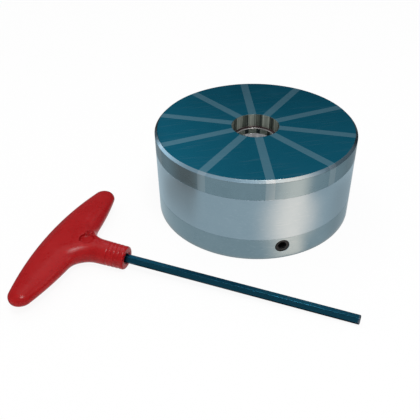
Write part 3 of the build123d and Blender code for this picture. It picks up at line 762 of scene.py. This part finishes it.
def to_row(points):
    """Points of the key's frame in the row frame, in millimetres."""
    return points @ key_axes + key_origin


def ellipse_distance(a, b, half_a, half_b):
    """About how far points lie outside an ellipse: k (k - 1) over the length of the gradient, where k is the
    scaled radius."""
    k = np.hypot(a / half_a, b / half_b) + 1e-9
    slope = np.hypot(a / half_a**2, b / half_b**2) + 1e-9
    return k * (k - 1.0) / slope


def melt(first, second, reach):
    """Two shapes joined: the smaller of two distances, less a quarter of the reach times the square of how
    near they are to each other as a share of it."""
    share = np.clip(1.0 - np.abs(first - second) / reach, 0.0, None)
    return np.minimum(first, second) - share**2 * reach / 4


def trim(first, second, reach):
    """What two shapes share: the larger of two distances, rounded in the same way."""
    return -melt(-first, -second, reach)


def bar_sizes(y):
    """Half width and half thickness of the bar: both fall with the square of the share of its half length,
    and close over the last tenth as a quarter circle does."""
    u = np.minimum(np.abs(y) / bar_half_l, 1.0)
    close = np.sqrt(np.clip(1.0 - (np.clip(u - (1 - bar_tip), 0, None) / bar_tip) ** 2, 1e-4, None))
    return (bar_w - bar_w_loss * u**2) * close, (bar_t - bar_t_loss * u**2) * close


def handle_field(p):
    """Below zero inside the handle: the bar and the hub melted into each other, with rings cut round the
    hub, a dish pressed into the top and a round mouth for the blade."""
    x, y, z = p.T
    half_w, half_t = bar_sizes(y)
    bar = ellipse_distance(x - bar_x, z, half_w, half_t) + np.clip(np.abs(y) - bar_half_l, 0, None)
    share = np.clip(x / bar_x, 0.0, 1.0)
    hub = ellipse_distance(y, z, hub_r + (hub_root_w - hub_r) * share, hub_r + (hub_root_t - hub_r) * share)
    for groove in ring_grooves:
        hub = hub + ring_groove_depth * np.exp(-(((x - groove) / ring_groove_half_w) ** 2))
    hub = trim(hub, x, hub_edge)
    hub = np.maximum(hub, bar_x - x)
    body = trim(melt(bar, hub, hub_blend), np.maximum(z - crown_h, -z - hub_r), crown_round)
    pocket = trim(np.hypot(x - dish[0], y - dish[1]) - dish_r, dish_floor_z - z, dish_floor_round)
    body = trim(body, -pocket, dish_edge_round)
    mouth = np.maximum(np.hypot(y, z) - hub_mouth_r, -hub_mouth_depth - x)
    return trim(body, -mouth, mouth_edge_round)


def handle_start():
    """A rough bar and hub in the key's frame, a little fat: ellipses along y and along x, each point at the
    half width times the cosine and the half thickness times the sine, closed at the ends."""
    around = np.linspace(0, 2 * pi, 48, endpoint=False)
    y = bar_half_l * np.sin(np.linspace(-pi / 2, pi / 2, 61))[:, None] * 0.999
    half_w, half_t = bar_sizes(y)
    x = np.linspace(bar_x, 0.0, 30)[:, None]
    bar = (bar_x + half_w * np.cos(around), y, half_t * np.sin(around))
    hub = (x, (hub_r + 1.0) * np.cos(around), hub_r * np.sin(around))
    grids = [np.stack(np.broadcast_arrays(*axes), axis=-1) for axes in (bar, hub)]
    return joined([(grid.reshape(-1, 3), tube_faces(*grid.shape[:2])) for grid in grids])


def settle(points, field):
    """Moves points onto the surface where a field is zero, by short Newton steps along its slope."""
    moves = np.eye(3) * settle_step
    for _ in range(settle_rounds):
        rise = [(field(points + move) - field(points - move)) / (2 * settle_step) for move in moves]
        slope = np.stack(rise, axis=-1)
        size = (slope**2).sum(axis=1) + 1e-6
        shift = np.clip(field(points) / np.sqrt(size), -settle_reach, settle_reach) / np.sqrt(size)
        points = points - shift[:, None] * slope
    return points


def make_handle():
    """The moulded T handle: a rough union remeshed to even quads, then settled onto the handle's field."""
    rough = new_piece("rough_handle", *handle_start())
    remesh = rough.modifiers.new("even", "REMESH")
    remesh.mode = "VOXEL"
    remesh.voxel_size = handle_voxel * MM
    mesh = evaluated_mesh(rough)
    discard(rough)
    co = np.empty(len(mesh.vertices) * 3, np.float32)
    mesh.vertices.foreach_get("co", co)
    quads = [list(face.vertices) for face in mesh.polygons]
    bpy.data.meshes.remove(mesh)
    settled = settle(co.reshape(-1, 3).astype(float) / MM, handle_field)
    new_piece("handle", to_row(settled), quads, "key", "red_plastic", ["key_handle"])


def make_blade():
    """The hex blade: a hexagon with eased corners, carried along x. Each station's share scales it, and draws
    it in at the tip's chamfer."""
    corners = ring_direction(60.0 * np.arange(6)) * key_af / 2 / cos(radians(30))
    outline = eased(corners, blade_ease)
    stations = [(x, 1.0) for x in (-key_embed, -hub_mouth_depth, 0.0, key_blade_l / 2)]
    stations += [(key_blade_l + x, share) for x, share in tip_stations]
    x, share = np.array(stations).T[..., None]
    points = np.stack(np.broadcast_arrays(x, *(share * side for side in outline.T)), axis=-1)
    faces = tube_faces(*points.shape[:2])
    new_piece("blade", to_row(points.reshape(-1, 3)), faces, "key", "blade_steel", ["key_blade"])


def groove(inner, outer, z, floor):
    """A ring groove's part of an outline, from its outer edge to its inner one."""
    return [(outer, z), (outer, floor), (inner, floor), (inner, z)]


# Outlines as (radius, height). The pole plate's goes up the rim, over the top and down the bore
plate_section = np.array([
    (lip_r, plate_z),
    (chuck_r - joint_chamfer, plate_z),
    (chuck_r, plate_z + joint_chamfer),
    (chuck_r, top_z - top_chamfer),
    (chuck_r - top_chamfer, top_z),
    (bore_r + bore_chamfer, top_z),
    (bore_r, top_z - bore_chamfer),
    (bore_r, top_z - bore_depth),
    (lip_r + lip_chamfer, top_z - bore_depth),
    (lip_r, top_z - bore_depth - lip_chamfer),
])

base_section = np.array([
    (tube_r + running_gap, register_depth + flange_h),
    (flange_r + running_gap, register_depth + flange_h),
    (flange_r + running_gap, register_depth),
    (register_r, register_depth),
    (register_r, 0.0),
    (chuck_r - foot_chamfer, 0.0),
    (chuck_r, foot_chamfer),
    (chuck_r, base_h - joint_chamfer),
    (chuck_r - joint_chamfer, base_h),
    *groove(seal_inner_r, seal_outer_r, base_h, base_h - seal_depth),
    *groove(*groove_r, base_h, groove_floor_z),
    (tube_r + running_gap, base_h),
])

ring_section = np.array([
    (cavity_r, base_h),
    (chuck_r - joint_chamfer, base_h),
    (chuck_r, base_h + joint_chamfer),
    (chuck_r, plate_z - joint_chamfer),
    (chuck_r - joint_chamfer, plate_z),
    *groove(seal_inner_r, seal_outer_r, plate_z, plate_z - seal_depth),
    (cavity_r, plate_z),
])

tube_section = np.array([
    (lip_r, register_h + tube_chamfer),
    (lip_r + tube_chamfer, register_h),
    (flange_r, register_h),
    (flange_r, register_h + flange_h),
    (tube_r, register_h + flange_h),
    (tube_r, tube_top_z),
    *groove(*tube_seal_r, tube_top_z, tube_top_z - tube_seal_depth),
    (lip_r, tube_top_z),
])


def make_plate():
    """Ten steel sectors with their blind threads and ten parallel spacers, two of them with a dowel hole."""
    thread = straight(plate_z - tool_clear, plate_z + clamp_thread_h, clamp_thread_r)
    dowel = straight(plate_z - tool_clear, plate_z + dowel_depth, dowel_hole_r)
    kinds = (
        ("sector", "pole_sector", first_sector, sector_half_angle, 31, "pole_steel", thread, 1),
        ("stripe", "spacer", first_spacer, spacer_half_angle, 9, "spacer_metal", dowel, pole_count // 2),
    )
    for i in range(pole_count):
        for name, node, first, half_angle, columns, slot, steps, every in kinds:
            azimuth = first + i * pitch
            piece = plate_piece(f"{name}_{i + 1:02d}", azimuth, half_angle, columns,
                                "chuck_body", slot, [f"{node}_{i + 1:02d}"])
            if i % every == 0:
                cut(piece, holes(steps, clamp_r, azimuth))


def make_ring():
    """The housing ring with its clamp screw and dowel holes."""
    ring = turned_piece("middle_ring", ring_section, 480, "chuck_body", "ring_metal", ["housing_ring"])
    low, high = base_h - tool_clear, plate_z + tool_clear
    tools = holes(straight(low, high, clamp_hole_r), clamp_r, first_sector, pole_count)
    for ends in ((low, base_h + dowel_depth), (plate_z - dowel_depth, high)):
        tools += holes(straight(*ends, dowel_hole_r), clamp_r, first_spacer, 2)
    cut(ring, tools)


def make_base():
    """The base plate with every hole that its screws, pins, pinion and spindle need."""
    base = turned_piece("base_ring", base_section, 480, "chuck_body", "base_steel", ["base_plate"])
    low, high = -tool_clear, base_h + tool_clear
    floor = register_depth + flange_h
    clamp = [(low, clamp_head_r), (clamp_head_depth, clamp_head_r),
             (clamp_head_depth, clamp_hole_r), (high, clamp_hole_r)]
    screw = straight(floor - tool_clear / 2, floor + flange_screw_depth, flange_screw_hole_r)
    kinds = (
        (clamp, clamp_r, first_sector, pole_count),
        (straight(low, mount_depth, mount_hole_r), mount_r, mount_azimuth, 4),
        (straight(base_h - dowel_depth, high, dowel_hole_r), clamp_r, first_spacer, 2),
        (screw, flange_screw_r, mount_azimuth, 4),
        (straight(base_h - stop_depth, high, stop_hole_r), stop_r, stop_azimuth, 1),
    )
    cut(base, [tool for kind in kinds for tool in holes(*kind)])
    pocket_low = (-pocket_half_w, -pocket_outer, pocket_floor_z)
    pocket_high = (pocket_half_w, -groove_r[0], groove_floor_z + tool_clear / 2)
    cut(base, [box_cutter(pocket_low, pocket_high)])
    bore = [(bush_seat_inner, bush_seat_r), (bush_seat_outer, bush_seat_r),
            (bush_seat_outer, spindle_hole_r), (chuck_r - mouth_chamfer, spindle_hole_r),
            (chuck_r + mouth_clear, spindle_mouth_r + mouth_clear)]
    cut(base, [stepped_cutter(bore, (0, 0, spindle_z), axis="Y", count=96)])


def make_tube():
    """The centre tube with its flange and the countersinks of its four screws."""
    tube = turned_piece("bore_tube", tube_section, 192, "chuck_body", "tube_metal", ["centre_tube"])
    sink_h = flange_screw_sink_r - flange_screw_hole_r
    steps = [(register_h - sink_clear, flange_screw_sink_r + sink_clear),
             (register_h + sink_h, flange_screw_hole_r),
             (register_h + flange_h + tool_clear / 2, flange_screw_hole_r)]
    cut(tube, holes(steps, flange_screw_r, mount_azimuth, 4))


# The materials of the pieces that are drawn anew, by slot. The metals' cool blue tint is in part a painted
# reflection, and each bore pair is the dark and the light of the bore's painted reflection streaks
outer = {
    "pole_steel": face_metal(
        "pole_steel", side=(0.185, 0.24, 0.262), side_dark=(0.15, 0.202, 0.222),
        face=(0.0075, 0.09, 0.144), face_dark=(0.005, 0.078, 0.126),
        bore=((0.012, 0.022, 0.022), (0.2, 0.23, 0.19)), roughness=0.24),
    "spacer_metal": face_metal(
        "spacer_metal", side=(0.245, 0.285, 0.3), side_dark=(0.205, 0.25, 0.265),
        face=(0.066, 0.168, 0.226), face_dark=(0.056, 0.148, 0.202),
        bore=((0.18, 0.21, 0.18), (0.56, 0.61, 0.53)), roughness=0.28),
    "ring_metal": turned_metal(
        "ring_metal", (0.285, 0.34, 0.37), (0.235, 0.29, 0.32), roughness=0.36, lines_per_mm=2.2),
    "base_steel": turned_metal(
        "base_steel", (0.21, 0.262, 0.282), (0.162, 0.212, 0.232), roughness=0.28, lines_per_mm=3.0),
    "tube_metal": turned_metal(
        "tube_metal", (0.42, 0.4, 0.39), (0.32, 0.3, 0.29), roughness=0.34, lines_per_mm=2.5,
        bore=((0.5, 0.5, 0.51), (0.88, 0.89, 0.91))),
    "red_plastic": red_plastic(),
    "blade_steel": blade_steel(),
}

# The materials of the solids that stay shown: slot, colour, darker colour, roughness, and what else differs
plain_finishes = (
    ("rotor_iron", (0.3, 0.31, 0.33), (0.2, 0.21, 0.23), 0.42, {}),
    ("magnet_nickel", (0.6, 0.57, 0.5), (0.5, 0.47, 0.4), 0.24, {}),
    ("carrier_bronze", (0.5, 0.3, 0.13), (0.4, 0.22, 0.09), 0.36, {}),
    ("bush_bronze", (0.55, 0.34, 0.15), (0.45, 0.26, 0.1), 0.3, {}),
    ("gear_steel", (0.36, 0.37, 0.38), (0.27, 0.28, 0.29), 0.34, {}),
    ("black_steel", (0.008, 0.01, 0.011), (0.003, 0.004, 0.005), 0.5,
     {"size": 1.5, "metallic": 0.0, "gloss": 0.15}),
    ("black_fastener", (0.03, 0.03, 0.032), (0.015, 0.015, 0.017), 0.4, {"size": 1.5}),
    ("seal_rubber", (0.02, 0.02, 0.02), (0.01, 0.01, 0.01), 0.6, {"metallic": 0.0, "grain_depth": 0.02}),
)
hidden = {name: plain_finish(name, *look, **more) for name, *look, more in plain_finishes}


def dress_hidden():
    """Every solid that stays shown gets its slot's material and smooth round faces."""
    rounding = smooth_group()
    slots = {part["node"]: part["material_slot"] for part in frame["record"]["subparts"]}
    for name, node in frame["nodes"].items():
        if node.hide_render or slots.get(name) not in hidden:
            continue
        node.data.materials.clear()
        node.data.materials.append(hidden[slots[name]])
        smooth = node.modifiers.new("round_faces", "NODES")
        smooth.node_group = rounding


def smooth_group():
    """A modifier that joins a solid's loose triangles and shades them smooth up to the smoothing angle."""
    group = bpy.data.node_groups.new("round_faces", "GeometryNodeTree")
    for way in ("INPUT", "OUTPUT"):
        group.interface.new_socket(name="Geometry", in_out=way, socket_type="NodeSocketGeometry")
    given = group.nodes.new("NodeGroupInput")
    gives = group.nodes.new("NodeGroupOutput")
    inputs = {"Geometry": given.outputs[0], "Distance": weld_gap * MM}
    shape = add(group, "GeometryNodeMergeByDistance", inputs).outputs[0]
    angle = group.nodes.new("GeometryNodeInputMeshEdgeAngle").outputs["Unsigned Angle"]
    soft = add(group, "FunctionNodeCompare", {0: angle, 1: radians(smooth_angle)}, operation="LESS_THAN")
    for domain, smooth in (("FACE", True), ("EDGE", soft.outputs[0])):
        inputs = {"Geometry": shape, "Shade Smooth": smooth}
        shape = add(group, "GeometryNodeSetShadeSmooth", inputs, domain=domain).outputs[0]
    group.links.new(shape, gives.inputs[0])
    return group


def make_camera():
    """The photograph's camera: its place and turn from the chuck's outline, in millimetres and degrees."""
    data = bpy.data.cameras.new("camera")
    data.lens = camera_lens
    data.sensor_width = camera_sensor
    data.clip_start = camera_clip
    camera = placed("camera", data)
    camera.location = Vector(camera_place) * MM
    camera.rotation_euler = Euler([radians(a) for a in camera_turn])
    bpy.context.scene.camera = camera


def smooth_rise(x, low, high):
    """From zero at the first limit to one at the second along an even S, and level outside them."""
    t = np.clip((x - low) / (high - low), 0.0, 1.0)
    return t * t * (3.0 - 2.0 * t)


def plateau(x, rise, fall):
    """One between a rise and a fall, each a pair of limits, and zero outside them."""
    return smooth_rise(x, *rise) * (1.0 - smooth_rise(x, *fall))


def shifted(limits, shift, share):
    """A pair of limits, each moved by a share of its own shift."""
    return [limit + move * share for limit, move in zip(limits, shift)]


def between(first, second, share):
    """Two colours mixed by an array of shares."""
    first, second = np.asarray(first), np.asarray(second)
    return first + (second - first) * share[..., None]


def mixed_shaders(tree, share, first, second):
    """Two shaders mixed by a share."""
    return add(tree, "ShaderNodeMixShader", {0: share, 1: first.outputs[0], 2: second.outputs[0]})


def front_only(tree, surface):
    """The material's surface: a shader on the front, and open from behind."""
    back = add(tree, "ShaderNodeNewGeometry").outputs["Backfacing"]
    both = mixed_shaders(tree, back, surface, add(tree, "ShaderNodeBsdfTransparent"))
    add(tree, "ShaderNodeOutputMaterial", {"Surface": both.outputs[0]})


def empty_material(name):
    """A material whose nodes are still to be made."""
    material = bpy.data.materials.new(name)
    material.use_nodes = True
    material.node_tree.nodes.clear()
    return material, material.node_tree


def card_material():
    """Shines with the light that is stored at each point, on its front."""
    material, tree = empty_material("light_card")
    stored = add(tree, "ShaderNodeAttribute", attribute_name="light").outputs["Color"]
    front_only(tree, add(tree, "ShaderNodeEmission", {"Color": stored, "Strength": 1.0}))
    return material


def light_card(name, points, light, material, toward=chuck_middle):
    """A sheet that only shines in mirroring surfaces: a grid of points in millimetres, their light, and
    every face turned toward a place."""
    rows, columns = points.shape[:2]
    light = np.broadcast_to(light, points.shape)
    points = points.reshape(-1, 3)
    quads = np.array(grid_faces(rows, columns))
    corners = points[quads]
    normal = np.cross(corners[:, 2] - corners[:, 0], corners[:, 3] - corners[:, 1])
    away = ((np.asarray(toward) - corners.mean(axis=1)) * normal).sum(axis=1) < 0
    quads[away] = quads[away, ::-1]
    mesh = bpy.data.meshes.new(name)
    mesh.from_pydata((points * MM).tolist(), [], quads.tolist())
    colours = np.concatenate([light.reshape(-1, 3), np.ones((rows * columns, 1))], axis=1)
    mesh.attributes.new("light", "FLOAT_COLOR", "POINT").data.foreach_set("color", colours.ravel())
    mesh.materials.append(material)
    card = placed(name, mesh)
    card.visible_camera = card.visible_diffuse = card.visible_shadow = card.visible_transmission = False


def standing_sheet(name, start, out, run, rise, light, material, toward=chuck_middle):
    """A sheet that lies on the floor and then stands up: from each start it goes out by the runs, at the
    rises."""
    level = start[:, None, :] + run[:, None] * out[:, None, :]
    points = with_height(level, np.maximum(rise, floor_clear)[:, None])
    light_card(name, points, light, material, toward)


def round_sheet(name, azimuth, radius, height, light, material):
    """A sheet that stands round the chuck: at each azimuth it goes through the radii, at their heights."""
    points = with_height(radius[:, None] * ring_direction(azimuth)[:, None, :], height[:, None])
    light_card(name, points, light, material)


def screen_columns():
    """The picture's columns that show the chuck, and the azimuth of the wall that each of them shows."""
    px = np.linspace(*screen_px, 133)
    return px, view_azimuth + np.degrees(np.arcsin((px - wall_centre_px) / wall_radius_px))


def wall_screen(material):
    """What the turned wall mirrors. The wall at azimuth a sends the view on along 2 a - view and down, so
    this sheet starts at the wall's foot, runs out along the floor and stands up. Each of its points has the
    light of the column and height of the wall that mirror it: cool all over, with a warm band and a dark
    block."""
    px, wall = screen_columns()
    height = np.array([0.5, 4.0, 8.0, screen_run * mirror_slope, 15.0, 18.0, 21.0, 28.0, 36.0, 44.0, 50.0,
                       52.0, 54.0, 56.0, 62.0, 78.0])
    column, row = px[:, None], height[None, :]
    middle = plateau(row, *middle_z)
    band = plateau(column, *(shifted(*pair, middle) for pair in zip(wall_warm_px, wall_warm_shift)))
    high_block = plateau(column, *high_block_px) * smooth_rise(row, *high_block_z)
    low_block = low_block_share * plateau(column, *low_block_px) * middle * smooth_rise(row, *low_block_z)
    right = smooth_rise(column, *right_dim_px) * (1.0 - smooth_rise(row, *middle_z[1]))
    light = between(cool_light, warm_light, band)
    light = between(light, shade_light, np.maximum(high_block, low_block))
    light = light * (1.0 - right_dim * right)[..., None]
    run = np.minimum(height / mirror_slope, screen_run)
    rise = height - screen_run * mirror_slope
    start = (chuck_r + screen_gap) * ring_direction(wall)
    standing_sheet("wall_screen", start, ring_direction(2 * wall - view_azimuth), run, rise, light, material)


def rim_screen(material):
    """What the front of the face's chamfer mirrors: a band that hangs over the rim. The view, v, comes back
    off the chamfer's normal, n, along 2 (n . v) n - v. Each column has the light of the place on the rim
    that mirrors it: cool, dim on the right and bright at the left end, with a warm band."""
    px, wall = screen_columns()
    normal = with_height(ring_direction(wall), 1.0) / np.sqrt(2.0)
    view = np.append(ring_direction(view_azimuth) * cos(radians(view_height)), sin(radians(view_height)))
    out = 2 * (normal @ view)[:, None] * normal - view
    azimuth = np.degrees(np.arctan2(out[:, 1], out[:, 0]))
    e = np.radians(np.degrees(np.arcsin(out[:, 2]))[:, None] + np.linspace(*rim_spread, 9))[..., None]
    away = with_height(np.cos(e) * ring_direction(azimuth)[:, None, :], np.sin(e))
    start = with_height((chuck_r - top_chamfer / 2) * ring_direction(wall), top_z - top_chamfer / 2)
    light = between(dark_light, rim_cool_light, 1.0 - rim_fade * smooth_rise(px, *rim_fade_px))
    gain = 1.0 + rim_middle_gain * smooth_rise(px, *rim_middle_px)
    gain = gain + rim_left_gain * (1.0 - smooth_rise(px, *rim_left_px))
    gain = gain * (1.0 + rim_sheen_gain * plateau(px, *rim_sheen_px))
    warm = plateau(px, *rim_warm_px) * (1.0 + rim_hot_gain * smooth_rise(px, *rim_hot_px))
    light = between(light * gain[:, None], rim_warm_light, warm)
    points = start[:, None, :] + rim_reach * away
    light_card("rim_screen", points, light[:, None, :], material, toward=(0.0, 0.0, top_z - rim_reach))


def handle_screen(material):
    """What the handle mirrors: dark behind it, along the T and round its far end."""
    line = np.array([(-80.0, 0.0), (-35.0, 0.0), (0.0, 0.0), (35.0, 0.0), (62.0, 6.0), (84.0, 24.0),
                     (92.0, 46.0)])
    lean = np.array([0.0, 0.0, 0.0, 0.0, 0.6, 1.6, 3.0])
    bar = np.array(key_hub_end) + bar_x * ring_direction(key_azimuth)
    along = ring_direction(key_azimuth + 90.0)
    across = ring_direction(key_azimuth + 180.0)
    start = bar + line[:, :1] * along + (handle_clear - line[:, 1:]) * across
    out = across + lean[:, None] * along
    out = out / np.linalg.norm(out, axis=1, keepdims=True)
    run = np.array([0.0, 8.0, 20.0, 20.0, 20.0])
    rise = np.array([0.0, 0.0, 0.0, 60.0, 130.0])
    standing_sheet("handle_screen", start, out, run, rise, handle_dark, material, toward=(*bar, 60.0))


def front_screen(material):
    """What the handle mirrors on the camera's side: a dim dome patch behind the lamp."""
    azimuth = np.linspace(*front_azimuth, 48)
    e = np.radians(np.linspace(*front_elevation, 14))
    round_sheet("front_screen", azimuth, front_r * np.cos(e), front_r * np.sin(e), front_light, material)


def blade_shade(material):
    """Painted shade: a dark sheet on the bench beside the blade, seen only in mirrors, for the blade's
    contact shadow; dark by the hub and the tip and lighter between them.
    """
    x = np.linspace(5.0, key_blade_l, 12)
    y = np.array([-14.0, -4.0, 0.0, 4.0, 14.0])
    along, across = ring_direction(key_azimuth), ring_direction(key_azimuth + 90.0)
    level = np.array(key_hub_end) + x[:, None, None] * along + y[:, None] * across
    light = between(handle_dark, shade_light, plateau(x, *blade_light_x))
    light_card("blade_shade", with_height(level, floor_clear / 2), light[:, None, :], material)


def back_screen(material):
    """What the face and its chamfer mirror: a dome patch behind the chuck, dark at the horizon, highest on
    the right, and growing lighter upwards and to the left, with a dim strip of floor in front of it."""
    azimuth = np.linspace(*dome_azimuth, 86)
    elevation = np.array([-6.0, 0.0, 6.0, *np.arange(10.0, 48.0, 4.0), 52.0, 60.0])
    e = np.radians(elevation)
    radius = np.concatenate([[strip_from, dome_r * cos(e[0])], dome_r * np.cos(e)])
    height = np.concatenate([[floor_clear, floor_clear], top_z + dome_r * np.sin(e)])
    seen = np.concatenate([[elevation[0], elevation[0]], elevation])
    edge = dome_dark + dome_right_dark * smooth_rise(azimuth, *dome_right_azimuth)[:, None]
    side = 1.0 + dome_left_gain * smooth_rise(azimuth, *dome_left_azimuth)
    light = between(dark_light, back_light, smooth_rise(seen, edge, edge + dome_rise)) * side[:, None, None]
    light[:, :2] = strip_light
    round_sheet("back_screen", azimuth, radius, height, light, material)


def background_share(tree):
    """One for the rays that should see the white background: the camera's, mirrored and refracted ones."""
    path = add(tree, "ShaderNodeLightPath").outputs
    first = maths(tree, "MAXIMUM", path["Is Camera Ray"], path["Is Glossy Ray"])
    return maths(tree, "MAXIMUM", first, path["Is Transmission Ray"])


def make_floor():
    """A pale floor: nearly all white where it is seen, with part of its own shading left for the shadow, and
    open from below."""
    mesh = bpy.data.meshes.new("floor")
    corners = [(floor_size * x, floor_size * y, 0.0) for x, y in ((-1, -1), (1, -1), (1, 1), (-1, 1))]
    mesh.from_pydata(corners, [], [(0, 1, 2, 3)])
    material, tree = empty_material("floor")
    paint = add(tree, "ShaderNodeBsdfDiffuse", {"Color": (floor_paint, floor_paint, floor_paint, 1)})
    white = add(tree, "ShaderNodeEmission", {"Color": (1, 1, 1, 1), "Strength": 1.0})
    share = maths(tree, "MULTIPLY", background_share(tree), floor_white)
    front_only(tree, mixed_shaders(tree, share, paint, white))
    mesh.materials.append(material)
    placed("floor", mesh)


def make_world():
    """White where it is seen, and a soft even light on everything else."""
    world = bpy.data.worlds.new("studio")
    bpy.context.scene.world = world
    world.use_nodes = True
    tree = world.node_tree
    tree.nodes.clear()
    soft = add(tree, "ShaderNodeBackground", {"Color": (1, 1, 1, 1), "Strength": world_light})
    white = add(tree, "ShaderNodeBackground", {"Color": (1, 1, 1, 1), "Strength": 1.0})
    both = mixed_shaders(tree, background_share(tree), soft, white)
    add(tree, "ShaderNodeOutputWorld", {"Surface": both.outputs[0]})


def soft_box(name, azimuth, elevation, distance, size, watts, mirrored):
    """A square area lamp that looks at the chuck's middle, and shows in the metal or not."""
    data = bpy.data.lights.new(name, "AREA")
    data.size = size
    data.energy = watts
    lamp = placed(name, data)
    lamp.visible_glossy = mirrored
    a, e = radians(azimuth), radians(elevation)
    away = Vector((cos(a) * cos(e), sin(a) * cos(e), sin(e)))
    lamp.location = away * distance + Vector(chuck_middle) * MM
    lamp.rotation_euler = away.to_track_quat("Z", "Y").to_euler()


make_camera()
make_world()
make_floor()
soft_box("key_light", azimuth=-84, elevation=70, distance=1.3, size=0.36, watts=8.0, mirrored=True)
soft_box("fill_light", azimuth=120, elevation=62, distance=1.8, size=1.0, watts=5.0, mirrored=False)
shining = card_material()
for screen in (wall_screen, rim_screen, back_screen, front_screen, handle_screen, blade_shade):
    screen(shining)

make_plate()
make_ring()
make_base()
make_tube()
make_handle()
make_blade()
dress_hidden()

bpy.context.scene.view_settings.view_transform = "Standard"
